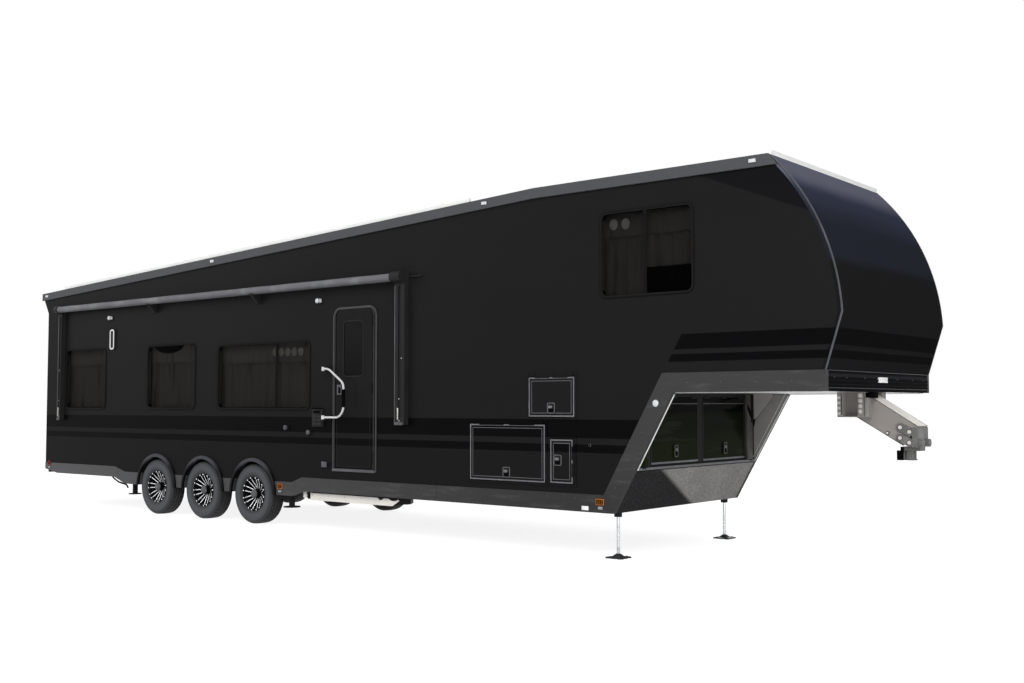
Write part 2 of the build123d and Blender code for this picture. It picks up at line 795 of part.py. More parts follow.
# Swing-away grab handle on its two wall brackets
handle_x = door_rear_x - handle_setback
handle_y = right_y - handle_stand_off
handle_top_z = handle_foot_z + handle_height
handle_bend = handle_radius * 4.6
handle_points = [
    (handle_x, handle_y, handle_foot_z),
    (handle_x + handle_shoulder, handle_y, handle_foot_z),
    (handle_x + handle_out, handle_y, handle_foot_z + handle_height * 0.172),
    (handle_x + handle_out, handle_y, handle_foot_z + handle_height * 0.694),
    (handle_x + handle_shoulder, handle_y, handle_top_z),
    (handle_x, handle_y, handle_top_z),
]
handle_path = FilletPolyline(*handle_points, radius=handle_bend)
handle_start = Plane(origin=handle_points[0], z_dir=(1, 0, 0))
handle = sweep(handle_start * Circle(handle_radius), path=handle_path)
brackets = []
for z in (handle_foot_z, handle_top_z):
    handle += rod(handle_socket_radius, (handle_x, handle_y, z - handle_socket_half),
                  (handle_x, handle_y, z + handle_socket_half))
    tall = handle_socket_half + bracket_ear
    ears = block(handle_x - bracket_half, handle_x + bracket_half, handle_y - bracket_half,
                 right_y, z - tall, z + tall)
    ears -= block(handle_x - 2 * bracket_half, handle_x + 2 * bracket_half,
                  handle_y - 2 * bracket_half, right_y - bracket_web,
                  z - handle_socket_half - seat_gap, z + handle_socket_half + seat_gap)
    brackets.append(ears)
save("grab_handle", [handle])

# Hatches with their frames
hatch_frames = []
for side_name, side in sides.items():
    outer = half_width * side
    for name, h in hatches.items():
        if side > 0 and name not in left_hatches:
            continue
        x0, x1, z0, z1 = h["x0"], h["x1"], h["z0"], h["z1"]
        grow = hatch_gap + hatch_trim
        half_grow = hatch_gap + hatch_trim / 2
        inner = outer - wall_thickness * side
        ring = block(x0 - grow, x1 + grow, outer, outer + frame_proud * side, z0 - grow, z1 + grow)
        ring += block(x0 - half_grow, x1 + half_grow, outer, inner, z0 - half_grow, z1 + half_grow)
        ring -= block(x0 - hatch_gap, x1 + hatch_gap, outer - 2 * wall_thickness,
                      outer + 2 * wall_thickness, z0 - hatch_gap, z1 + hatch_gap)
        panel = block(x0, x1, outer + hatch_proud * side,
                      outer + (hatch_proud - hatch_thickness) * side, z0, z1)
        line_y = outer + side * (frame_proud + hatch_barrel + seat_gap)
        if name == "narrow":
            ends = [(x1 + hatch_gap / 2, line_y, z)
                    for z in (z0 + hatch_hinge_inset, z1 - hatch_hinge_inset)]
            ways = [(1, 0, 0), (-1, 0, 0)]
        else:
            ends = [(x, line_y, z1 + hatch_gap / 2)
                    for x in (x0 + hatch_hinge_inset, x1 - hatch_hinge_inset)]
            ways = [(0, 0, 1), (0, 0, -1)]
        fixed, moving = hinge(hatch_barrel, ends[0], ends[1], (0, outer + frame_proud * side, 0),
                              ways[0], (0, outer + hatch_proud * side, 0), ways[1],
                              (0, side, 0), long_hinge)
        hatch_frames.append(ring + fixed)
        save("hatch_" + name + "_" + side_name, [panel + moving])
save("opening_frames", window_frames + hatch_frames)

# Rear frame round the ramp, and the ramp itself
ramp_half_width = half_width - ramp_side_inset
ramp_bottom_z = floor_bottom_z + ramp_foot_rise
ramp_top_z = tail_gusset_z - ramp_head_drop
rear_frame = block(0, wall_thickness, -inner_y, inner_y, rail_bottom_z, tail_gusset_z)
rear_frame += plate([(-tail_overhang, roof_z(-tail_overhang) - roof_thickness),
                     (wall_thickness, roof_z(wall_thickness) - roof_thickness),
                     (wall_thickness, tail_gusset_z), (0, tail_gusset_z)], -inner_y, inner_y)
rear_frame -= block(-2 * tail_overhang, 2 * wall_thickness, -ramp_half_width - ramp_gap,
                    ramp_half_width + ramp_gap, ramp_bottom_z - ramp_gap, ramp_top_z + ramp_gap)
ramp_face_x = wall_thickness - ramp_thickness
ramp = block(ramp_face_x, wall_thickness, -ramp_half_width, ramp_half_width, ramp_bottom_z,
             ramp_top_z)
line_x = ramp_face_x - ramp_barrel - seat_gap
line_z = ramp_bottom_z - ramp_gap / 2
for y in (-ramp_hinge_spread, 0, ramp_hinge_spread):
    fixed, moving = hinge(ramp_barrel, (line_x, y - ramp_hinge_length / 2, line_z),
                          (line_x, y + ramp_hinge_length / 2, line_z),
                          (0, 0, 0), (0, 0, -1), (ramp_face_x, 0, 0), (0, 0, 1), (-1, 0, 0),
                          short_hinge)
    rear_frame += fixed
    ramp += moving
save("rear_frame", [rear_frame])
save("ramp_door", [ramp])

# Awning: roller tube, the head at each end with its folded arm down the wall, cradles
# under the tube and the stub of rail that goes on past the front head
save("awning_tube", [rod(tube_radius, (tube_rear_x, tube_y, tube_z),
                         (tube_front_x, tube_y, tube_z))])
awning_foot_z = floor_top_z + (tube_z - floor_top_z) * awning_arm_share
arm_face = right_y - awning_arm_depth
arms = []
for x0, x1 in ((tube_rear_x - 90.0, tube_rear_x), (tube_front_x, tube_front_x + 160.0)):
    arm = block(x0, x1, arm_face, right_y, awning_foot_z, tube_z)
    groove = (x1 - x0 - slot_width) / 2
    arm -= block(x0 + groove, x1 - groove, arm_face - slot_depth, arm_face + slot_depth,
                 awning_foot_z + 2 * slot_width, tube_z - head_half_height - slot_width)
    arm += rod(head_half_height, (x0, tube_y, tube_z), (x1, tube_y, tube_z))
    arm += block(x0, x1, tube_y, right_y, tube_z - head_half_height, tube_z + head_half_height)
    arms.append(arm)
for share in cradle_shares:
    x = tube_rear_x + (tube_front_x - tube_rear_x) * share
    hook = [
        (right_y, tube_z - tube_radius - cradle_height),
        (right_y - slot_width, tube_z - tube_radius - cradle_height),
        (tube_y - tube_radius, tube_z - tube_radius + head_wall),
        (tube_y - tube_radius * 0.6, tube_z - tube_radius),
        (right_y, tube_z - tube_radius),
    ]
    wire = Polyline(*[(x - cradle_width / 2, y, z) for y, z in hook], close=True)
    cradle = extrude(make_face(wire), amount=cradle_width, dir=(1, 0, 0))
    cradle -= rod(tube_radius + seat_gap, (x - cradle_width, tube_y, tube_z),
                  (x + cradle_width, tube_y, tube_z))
    arms.append(cradle)
stub_y = right_y - rail_stub_radius
stub_x = tube_front_x + 160.0
arms[1] += rod(rail_stub_radius, (stub_x - slot_width, stub_y, tube_z),
               (stub_x + rail_stub_length, stub_y, tube_z))
save("awning_arms", arms)

# Fenders: one lip with a bevelled outer edge over each wheel, ended above the ground
fender_profile = [
    (fender_bore, band_proud),
    (fender_radius, band_proud),
    (fender_radius, fender_proud - fender_edge),
    (fender_radius - fender_edge, fender_proud),
    (fender_bore, fender_proud),
]
fenders = None
for x in arch_stations:
    lip = spun_y(fender_profile, x, right_y, tyre_radius, -1)
    fenders = lip if fenders is None else fenders + lip
fenders -= block(tub_x0 - tyre_radius, tub_x1 + tyre_radius, -body_width, 0, -tyre_radius,
                 low_bottom_z)
save("wheel_fenders", [fenders, mirrored(fenders)])

# Tyres: share of the way from the rim flange to the tread, and share of the half width
tyre_shape = [
    (0.107, 0.889), (0.42, 1.0), (0.75, 0.985), (0.90, 0.91), (0.975, 0.78), (0.992, 0.62),
    (1.0, 0.0), (0.992, -0.62), (0.975, -0.78), (0.90, -0.91), (0.75, -0.985), (0.42, -1.0),
    (0.107, -0.889),
]
tyre_profile = [(seat_radius, rim_half - bead_step), (flange_radius, rim_half)]
for up, across in tyre_shape:
    tyre_profile.append((flange_radius + (tyre_radius - flange_radius) * up,
                         tyre_half_width * across))
tyre_profile += [(flange_radius, -rim_half), (seat_radius, -rim_half + bead_step)]

# Rims: a barrel with a deep outer lip, eight forked spokes with a stud at each tip, and a
# domed hub that turns on the spindle
barrel_inner = seat_radius - barrel_wall
lip_inner = seat_radius - flange_lip
lip_foot = rim_half + flange_lip - lip_depth
barrel_profile = [
    (seat_radius, -rim_half + bead_step),
    (flange_radius, -rim_half),
    (flange_radius, -rim_half - flange_lip),
    (lip_inner, -rim_half - flange_lip),
    (barrel_inner, -rim_half * 0.7),
    (barrel_inner, lip_foot - flange_lip),
    (lip_inner - bead_step, lip_foot),
    (lip_inner, rim_half),
    (seat_radius, rim_half + flange_lip),
    (flange_radius, rim_half + flange_lip),
    (flange_radius, rim_half),
    (seat_radius, rim_half - bead_step),
]
bore = spindle_radius + running_gap
hub_profile = [
    (bore, -hub_back),
    (hub_radius + 20, -hub_back),
    (hub_radius + 20, spoke_back),
    (hub_radius, spoke_front),
    (hub_radius, hub_shoulder),
    (hub_radius * 0.9, hub_shoulder + (hub_face - hub_shoulder) * 0.5),
    (hub_radius * 0.65, hub_shoulder + (hub_face - hub_shoulder) * 0.85),
    (hub_radius * 0.3, hub_face),
    (0, hub_face),
    (0, spindle_radius),
    (bore, spindle_radius),
]
spoke_tip_radius = seat_radius - bead_step
spoke_reach = math.sqrt(spoke_tip_radius ** 2 - spoke_tip_spread ** 2)
leg_run = spoke_reach - spoke_root_radius
leg_lean = math.atan2(spoke_tip_spread - spoke_root_spread, leg_run)
leg_reach = math.hypot(spoke_tip_spread - spoke_root_spread, leg_run)
leg_wire = Polyline((0, spoke_back, 0), (0, spoke_front, 0), (leg_reach, spoke_front, 0),
                    (leg_reach, spoke_back, 0), close=True)
spoke_leg = extrude(make_face(leg_wire), amount=spoke_width / 2, both=True)
stud_angle = math.atan2(spoke_tip_spread, spoke_reach)
rim_face = rim_half + flange_lip
fork = []
for way in (-1, 1):
    leg = spoke_leg.rotate(Axis.Y, -way * math.degrees(leg_lean))
    fork.append(Pos(spoke_root_radius, 0, way * spoke_root_spread) * leg)
    stud_x = stud_ring_radius * math.cos(stud_angle)
    stud_z = way * stud_ring_radius * math.sin(stud_angle)
    fork.append(rod(stud_radius, (stud_x, rim_face, stud_z),
                    (stud_x, rim_face + stud_height, stud_z)))
rim = spun_y(barrel_profile, 0, 0, 0, 1) + spun_y(hub_profile, 0, 0, 0, 1)
for n in range(spoke_count):
    rim += [piece.rotate(Axis.Y, 360.0 * n / spoke_count) for piece in fork]
for side_name, side in sides.items():
    for n, x in enumerate(axle_stations):
        label = side_name + "_" + str(n + 1)
        save("tyre_" + label, [spun_y(tyre_profile, x, side * tyre_y, tyre_radius, side)])
        turned = rim if side > 0 else rim.rotate(Axis.X, 180)
        save("rim_" + label, [Pos(x, side * tyre_y, tyre_radius) * turned])

# Torsion axles: tube, trailing arms, backing plates and spindles
axles = []
for x in axle_stations:
    x0 = x - axle_trail - axle_tube / 2
    arm_z = rail_bottom_z - rail_setback
    axle = block(x0, x0 + axle_tube, -rail_y - arm_thickness / 2, rail_y + arm_thickness / 2,
                 rail_bottom_z - axle_tube, rail_bottom_z)
    for side in sides.values():
        near = side * (rail_y + 5)
        far = near + side * arm_thickness
        axle += block(x0, x + arm_thickness, near, far, arm_z - arm_height * 0.67,
                      arm_z + arm_height * 0.33)
        axle += rod(backing_radius, (x, far, tyre_radius),
                    (x, far + side * backing_thickness, tyre_radius))
        axle += rod(spindle_radius, (x, near, tyre_radius), (x, side * tyre_y, tyre_radius))
    axles.append(axle)
save("torsion_axles", axles)

# Front landing legs: a sleeve on each side, and a rod on a foot with four lobes
sleeves = []
legs = []
rod_top_z = floor_bottom_z - rod_cover
for side in sides.values():
    y = side * leg_y
    sleeve = rod(sleeve_radius, (leg_x, y, floor_bottom_z - sleeve_length),
                 (leg_x, y, floor_bottom_z))
    sleeve -= rod(rod_radius + rod_gap, (leg_x, y, 0), (leg_x, y, rod_top_z))
    sleeves.append(sleeve)
    boss_z = foot_thickness + foot_boss_height
    foot = rod(foot_plate_radius, (leg_x, y, 0), (leg_x, y, foot_thickness))
    foot += spun_z([(0, 0), (foot_boss_radius, 0), (foot_boss_radius, foot_thickness),
                    (foot_boss_radius / 2, boss_z), (0, boss_z)], leg_x, y)
    for quarter in range(4):
        angle = math.radians(45 + 90 * quarter)
        lobe_x = leg_x + math.cos(angle) * foot_plate_radius * 0.94
        lobe_y = y + math.sin(angle) * foot_plate_radius * 0.94
        foot += rod(foot_lobe_radius, (lobe_x, lobe_y, 0), (lobe_x, lobe_y, foot_thickness))
    legs.append(foot + rod(rod_radius, (leg_x, y, foot_thickness), (leg_x, y, rod_top_z)))
save("landing_legs", legs)

# Levelling jacks, drawn up: station and foot radius
jack_rows = [(axle_stations[-1] + 558.0, 108.0), (axle_stations[0] - 820.0, 94.0)]
jacks = []
for x, radius in jack_rows:
    for side in sides.values():
        y = side * (half_width - jack_inset)
        jack = rod(jack_radius, (x, y, jack_foot_z), (x, y, floor_bottom_z))
        jack += rod(radius, (x, y, jack_foot_z), (x, y, jack_foot_z + jack_foot_thickness))
        jacks.append(jack)
save("leg_sleeves", sleeves + jacks)

# Stowed step below the entry door: a shallow tray with a pointed front end on two hangers
step_x0 = jack_rows[0][0] + 460.0
step_x1 = door_front_x + step_front_reach
step_y0 = right_y + step_outer_inset
step_y1 = right_y + step_inner_inset
step_z0 = step_top_z - step_height
step_middle = (step_y0 + step_y1) / 2
tray_outline = [
    (step_x0, step_y0), (step_x1 - step_nose, step_y0), (step_x1, step_middle - step_sheet),
    (step_x1, step_middle + step_sheet), (step_x1 - step_nose, step_y1), (step_x0, step_y1),
]
tray_wire = Polyline(*[(x, y, step_z0) for x, y in tray_outline], close=True)
step = extrude(make_face(tray_wire), amount=step_height, dir=(0, 0, 1))
step -= block(step_x0 + step_sheet, step_x1 - step_nose, step_y0 - step_sheet,
              step_y1 - step_sheet, step_z0 + step_sheet, step_top_z - step_sheet)
for x in (step_x0 + 2 * step_hanger, step_x1 - step_nose - step_hanger):
    step += block(x - step_hanger / 2, x + step_hanger / 2, step_middle - step_hanger,
                  step_middle + step_hanger, step_top_z, floor_bottom_z)
save("entry_step", [step])

# Hitch bracket: a cheek on each side, its two flanges and the lip along its foot
bracket_x0 = nose_foot_x - cheek_rear
bracket_x1 = nose_foot_x - cheek_front
bracket_foot_z = neck_bottom_z - cheek_drop
cheeks = []
for side in sides.values():
    y0 = side * arm_half_width
    y1 = y0 + side * cheek_thickness
    y2 = y0 + side * cheek_width
    cheek = block(bracket_x0, bracket_x1, y0, y1, bracket_foot_z, neck_bottom_z)
    for x in (bracket_x0, bracket_x1 - cheek_thickness):
        cheek += block(x, x + cheek_thickness, y0, y2, bracket_foot_z, neck_bottom_z)
    cheek += block(bracket_x0, bracket_x1, y0, y2, bracket_foot_z,
                   bracket_foot_z + cheek_thickness)
    cheeks.append(cheek)
save("hitch_bracket", cheeks)

# Box arm, leaning down and forward from the bracket. Offsets from the coupler's centre
# line and from the underside of the neck.
arm_points = [
    (bracket_x0 + cheek_thickness, neck_bottom_z - arm_root_drop),
    (bracket_x0 + 213.0, neck_bottom_z - arm_root_drop),
    (coupler_x + 119.0, neck_bottom_z - 325.0),
    (coupler_x - 20.0, neck_bottom_z - 502.0),
    (bracket_x0 + 103.0, bracket_foot_z + 4.0),
    (bracket_x0 + cheek_thickness, bracket_foot_z + cheek_thickness),
]
arm = plate(arm_points, -arm_half_width, arm_half_width)
save("hitch_arm", [arm])

# Hitch head: two links a side on the arm's end, the cross plate with its knobs, the block
# that carries the coupler
link_rows = [((-43.0, -335.0), (45.0, -377.0)), ((-46.0, -435.0), (42.0, -478.0))]
head_top_z = neck_bottom_z - 335.0
head_foot_z = coupler_top_z + 38.0
head_width = arm_half_width + link_thickness
head = block(coupler_x + 70.0, hitch_front_x - link_radius, -head_width, head_width,
             head_foot_z, head_top_z)
head += block(coupler_x - 70.0, hitch_front_x - 40.0, -link_radius * 1.8, link_radius * 1.8,
              coupler_top_z, head_foot_z)
for side in sides.values():
    head += rod(link_radius, (hitch_front_x - link_radius, side * arm_half_width * 0.7,
                              head_foot_z + link_radius),
                (hitch_front_x, side * arm_half_width * 0.7, head_foot_z + link_radius))
head -= arm
for side in sides.values():
    y0 = side * arm_half_width
    y1 = y0 + side * link_thickness
    for (xa, za), (xb, zb) in link_rows:
        xa, xb, za, zb = coupler_x + xa, coupler_x + xb, neck_bottom_z + za, neck_bottom_z + zb
        lean = math.atan2(zb - za, xb - xa)
        dx, dz = link_radius * math.sin(lean), link_radius * math.cos(lean)
        head += rod(link_radius, (xa, y0, za), (xa, y1, za))
        head += rod(link_radius, (xb, y0, zb), (xb, y1, zb))
        head += plate([(xa - dx, za + dz), (xb - dx, zb + dz), (xb + dx, zb - dz),
                       (xa + dx, za - dz)], y0, y1)
save("hitch_head", [head])

# Ball coupler: ribbed barrel on a flange, with its latch block behind and the socket below
coupler_wide = coupler_radius + coupler_rib
coupler_profile = [(0, coupler_bottom_z), (coupler_radius + coupler_flange, coupler_bottom_z),
                   (coupler_radius + coupler_flange, coupler_bottom_z + coupler_flange)]
rib_step = (coupler_height - coupler_flange) / 7
for n in range(3):
    z = coupler_bottom_z + coupler_flange + (2 * n + 1) * rib_step
    coupler_profile += [(coupler_radius, z - rib_step * 0.9), (coupler_radius, z),
                        (coupler_wide, z + rib_step * 0.2), (coupler_wide, z + rib_step * 0.8)]
coupler_profile += [(coupler_radius, coupler_top_z - rib_step * 0.8),
                    (coupler_radius, coupler_top_z), (0, coupler_top_z)]
coupler = spun_z(coupler_profile, coupler_x, 0)
coupler += block(coupler_x - 2.2 * coupler_radius, coupler_x - 0.8 * coupler_radius,
                 -0.85 * coupler_radius, 0.85 * coupler_radius, coupler_bottom_z, coupler_top_z)
coupler -= rod(socket_radius, (coupler_x, 0, coupler_bottom_z - coupler_flange),
               (coupler_x, 0, coupler_bottom_z + socket_depth))
save("ball_coupler", [coupler])

# Roof units kept low along the middle of the roof
units = []
for share in roof_unit_shares:
    x = body_length * share
    x0, x1 = x - roof_unit_half_length, x + roof_unit_half_length
    top = roof_z(x) + roof_unit_height
    unit = plate([(x0, roof_z(x0)), (x0 + roof_unit_lean, top), (x1 - roof_unit_lean, top),
                  (x1, roof_z(x1))], -roof_unit_half_width, roof_unit_half_width)
    units.append(unit)
save("roof_units", units)

# Lamps and reflectors on the skirts: station, height, length, height of the lens
skirt_lamps = {
    "red": [(130.0, 640.0, 70.0, 60.0)],
    "amber": [(axle_stations[-1] + 563.0, 515.0, 95.0, 60.0),
              (body_length - 155.0, 572.0, 95.0, 60.0)],
    "clear": [(130.0, 572.0, 40.0, 24.0), (axle_stations[-1] + 563.0, 450.0, 50.0, 24.0),
              (body_length - 150.0, 512.0, 50.0, 24.0)],
}
marker_stations = [-10.0, body_length * 0.395, body_length * 0.8456, nose_top_x - 153.0]
lamps = {kind: [] for kind in skirt_lamps}
for kind, rows in skirt_lamps.items():
    for x, z, length, height in rows:
        lens = block(x - length / 2, x + length / 2, right_y - band_proud - lens_depth,
                     right_y - band_proud, z - height / 2, z + height / 2)
        lamps[kind] += [lens, mirrored(lens)]
for x in marker_stations:
    lens = block(x - 35.0, x + 35.0, right_y - fascia_proud - lens_depth, right_y - fascia_proud,
                 roof_z(x) - fascia_height * 0.62, roof_z(x) - fascia_height * 0.32)
    lamps["clear"] += [lens, mirrored(lens)]
post_middle = (ramp_half_width + ramp_gap + inner_y) / 2
lens = block(-lens_depth, 0, post_middle - tail_lamp_width / 2, post_middle + tail_lamp_width / 2,
             tail_lamp_z, tail_lamp_z + tail_lamp_height)
lamps["red"] += [lens, mirrored(lens)]
for kind, solids in lamps.items():
    save("lamps_" + kind, solids)

# Fixtures on the right wall: station, height, length, height, how far they stand out
fixture_rows = [
    (windows["lounge"]["x1"] + 127.0, tube_z - 187.0, 90.0, 50.0, 30.0),
    (door_rear_x - 327.0, tube_z - 193.0, 90.0, 50.0, 30.0),
    (windows["lounge"]["x1"] + 200.0, tube_z - 512.0, 130.0, 300.0, 22.0),
    (door_rear_x - 329.0, sill_z - 112.0, 200.0, 240.0, 18.0),
    (door_rear_x - 929.0, sill_z - 248.0, 70.0, 60.0, 24.0),
    (door_rear_x - 494.0, sill_z - 305.0, 70.0, 60.0, 24.0),
    (door_rear_x - 174.0, door_bottom_z + 28.0, 130.0, 70.0, 20.0),
]
fixtures = []
for x, z, length, height, depth in fixture_rows:
    fixtures.append(block(x - length / 2, x + length / 2, right_y - depth, right_y,
                          z - height / 2, z + height / 2))
save("wall_fixtures", fixtures + brackets)

# Curtains hanging just inside each window
curtains = []
curtain_y = -inner_y + curtain_gap + curtain_thickness / 2
for w in windows.values():
    x0, x1 = w["x0"], w["x1"]
    rail_z = w["z1"] + curtain_rail_rise
    curtain = block(x0 + curtain_thickness, x1 - curtain_thickness,
                    curtain_y - curtain_thickness / 2, curtain_y + curtain_thickness / 2,
                    w["z0"] + frame_lip, rail_z - curtain_rail_radius / 2)
    curtain += rod(curtain_rail_radius, (x0 - curtain_gap, curtain_y, rail_z),
                   (x1 + curtain_gap, curtain_y, rail_z))
    for x in (x0 - curtain_gap, x1 + curtain_gap - curtain_rail_radius):
        curtain += block(x, x + curtain_rail_radius, -inner_y, curtain_y,
                         rail_z - curtain_rail_radius * 0.75, rail_z + curtain_rail_radius * 0.75)
    curtains += [curtain, mirrored(curtain)]
save("curtains", curtains)
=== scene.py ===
import math
import random

import bpy
from mathutils import Matrix, Vector


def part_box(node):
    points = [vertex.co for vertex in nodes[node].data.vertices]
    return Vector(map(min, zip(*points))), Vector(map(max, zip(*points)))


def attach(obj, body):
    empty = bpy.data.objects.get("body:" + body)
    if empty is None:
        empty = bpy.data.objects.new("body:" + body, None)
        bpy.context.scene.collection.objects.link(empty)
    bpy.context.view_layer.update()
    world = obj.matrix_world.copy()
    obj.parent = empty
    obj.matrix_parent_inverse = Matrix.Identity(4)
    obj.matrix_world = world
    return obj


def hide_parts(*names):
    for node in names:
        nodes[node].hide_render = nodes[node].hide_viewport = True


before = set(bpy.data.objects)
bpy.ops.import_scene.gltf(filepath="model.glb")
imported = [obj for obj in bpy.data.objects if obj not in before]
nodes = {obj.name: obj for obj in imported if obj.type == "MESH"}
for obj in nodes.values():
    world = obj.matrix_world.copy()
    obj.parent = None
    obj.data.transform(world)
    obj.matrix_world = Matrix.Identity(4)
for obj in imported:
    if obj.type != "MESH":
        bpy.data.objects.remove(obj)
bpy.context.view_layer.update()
print("frame loaded:", len(nodes), "nodes")

middle = 6.684  # stations run from the rear wall, the frame's zero is this far forward
halfWidth = 1.295
wheelPlaces = (3.018352, 4.095352, 5.172352)
wheelGap = 1.077
wheelHeight = 0.390
neckSlope = 0.571  # how far forward the slope under the gooseneck runs per metre of height


# Camera at the photo's place
camera = {
    "place": (10.686, -10.965, 1.557),
    "turn": (93.104, 0.054, 39.006),
    "lens": 40.64,
    "sensor": 36.0,
}
bpy.ops.object.camera_add(location=camera["place"],
                          rotation=[math.radians(a) for a in camera["turn"]])
eye = bpy.context.object
eye.data.lens = camera["lens"]
eye.data.sensor_width = camera["sensor"]
eye.data.clip_end = 400
bpy.context.scene.camera = eye
bpy.context.scene.view_settings.view_transform = "Standard"
print("camera set")


def tone(red, green, blue):
    # screen colour, 0 to 255, to the light value that Blender works in
    parts = [c / 255 for c in (red, green, blue)]
    return [c / 12.92 if c <= 0.04045 else ((c + 0.055) / 1.055) ** 2.4 for c in parts] + [1.0]


class Wire:
    # one socket, so that patterns can be written as sums
    def __init__(self, look, out):
        self.look = look
        self.out = out

    def sum(self, operation, other, turned=False):
        first, second = (other, self) if turned else (self, other)
        return self.look.node("ShaderNodeMath", {"operation": operation}, {0: first, 1: second})

    def __add__(self, other):
        return self.sum("ADD", other)

    def __radd__(self, other):
        return self.sum("ADD", other, True)

    def __sub__(self, other):
        return self.sum("SUBTRACT", other)

    def __rsub__(self, other):
        return self.sum("SUBTRACT", other, True)

    def __mul__(self, other):
        return self.sum("MULTIPLY", other)

    def __rmul__(self, other):
        return self.sum("MULTIPLY", other, True)

    def __truediv__(self, other):
        return self.sum("DIVIDE", other)

    def __rtruediv__(self, other):
        return self.sum("DIVIDE", other, True)

    def least(self, other):
        return self.sum("MINIMUM", other)

    def most(self, other):
        return self.sum("MAXIMUM", other)

    def alone(self, operation):
        return self.look.node("ShaderNodeMath", {"operation": operation}, {0: self})

    def size(self):
        return self.alone("ABSOLUTE")

    def wave(self):
        return self.alone("SINE")

    def root(self):
        return self.alone("SQRT")

    def over(self, edge, soft=0.002):
        # 0 below the edge, 1 above it
        return self.look.node("ShaderNodeMapRange", {"interpolation_type": "SMOOTHSTEP"},
                              {"Value": self, "From Min": edge - soft, "From Max": edge + soft})

    def within(self, low, high, soft=0.002):
        return self.over(low, soft) * (1 - self.over(high, soft))


class Look:
    # a material under construction
    def __init__(self, name, shared=True):
        self.material = bpy.data.materials.new(name)
        self.material.use_nodes = True
        self.tree = self.material.node_tree
        self.tree.nodes.clear()
        if shared:
            self.place = self.node("ShaderNodeTexCoord", {}, {}, "Object")
            self.x = self.node("ShaderNodeSeparateXYZ", {}, {0: self.place}, "X")
            self.y = self.node("ShaderNodeSeparateXYZ", {}, {0: self.place}, "Y")
            self.z = self.node("ShaderNodeSeparateXYZ", {}, {0: self.place}, "Z")

    def node(self, kind, settings, sockets, give=0):
        made = self.tree.nodes.new(kind)
        for key, value in settings.items():
            if key == "stops":
                ramp = made.color_ramp.elements
                while len(ramp) < len(value):
                    ramp.new(0.5)
                for stop, (where, colour) in zip(ramp, value):
                    stop.position = where
                    stop.color = colour
            else:
                setattr(made, key, value)
        for key, value in sockets.items():
            if isinstance(value, Wire):
                self.tree.links.new(value.out, made.inputs[key])
            else:
                made.inputs[key].default_value = value
        return Wire(self, made.outputs[give])

    def stretched(self, x, y, z):
        return self.node("ShaderNodeVectorMath", {"operation": "MULTIPLY"},
                         {0: self.place, 1: (x, y, z)})

    def noise(self, scale, detail=3.0, rough=0.5, where=None):
        return self.node("ShaderNodeTexNoise", {},
                         {"Vector": where or self.place, "Scale": scale, "Detail": detail,
                          "Roughness": rough})

    def cells(self, scale):
        return self.node("ShaderNodeTexVoronoi", {}, {"Vector": self.place, "Scale": scale},
                         "Distance")

    def mix(self, mask, first, second):
        return self.node("ShaderNodeMix", {"data_type": "RGBA"}, {0: mask, 6: first, 7: second}, 2)

    def bump(self, height, strength, distance):
        return self.node("ShaderNodeBump", {},
                         {"Strength": strength, "Distance": distance, "Height": height})

    def done(self, colour, rough, metal=0.0, normal=None, **more):
        sockets = {"Base Color": colour, "Roughness": rough, "Metallic": metal}
        if normal is not None:
            sockets["Normal"] = normal
        for key, value in more.items():
            sockets[key.replace("_", " ")] = value
        return self.show(self.node("ShaderNodeBsdfPrincipled", {}, sockets))

    def show(self, shader):
        end = self.tree.nodes.new("ShaderNodeOutputMaterial")
        self.tree.links.new(shader.out, end.inputs[0])
        return self.material


# White surroundings for the camera, mirrors and glass, a softer level for the light itself
studio = {
    "ambient": 0.55,
    "floorTone": (0.86, 0.86, 0.86, 1.0),
    "floorSize": 260.0,
    "lamps": {"key": ((12.0, -20.0, 17.0), (1.0, 0.0, 1.8), 18.0, 4800.0),
              "fill": ((-20.0, -15.0, 10.0), (1.0, 0.0, 1.8), 14.0, 1500.0),
              "back": ((-8.0, 22.0, 16.0), (1.0, 0.0, 1.8), 14.0, 1400.0),
              "front": ((15.0, -5.5, 0.9), (4.8, 0.4, 1.2), 3.0, 420.0)},
}


def seenRays(look):
    # 1 where a ray from the camera, a mirror or glass looks at it
    rays = [look.node("ShaderNodeLightPath", {}, {}, name)
            for name in ("Is Camera Ray", "Is Glossy Ray", "Is Transmission Ray")]
    return rays[0].most(rays[1]).most(rays[2])


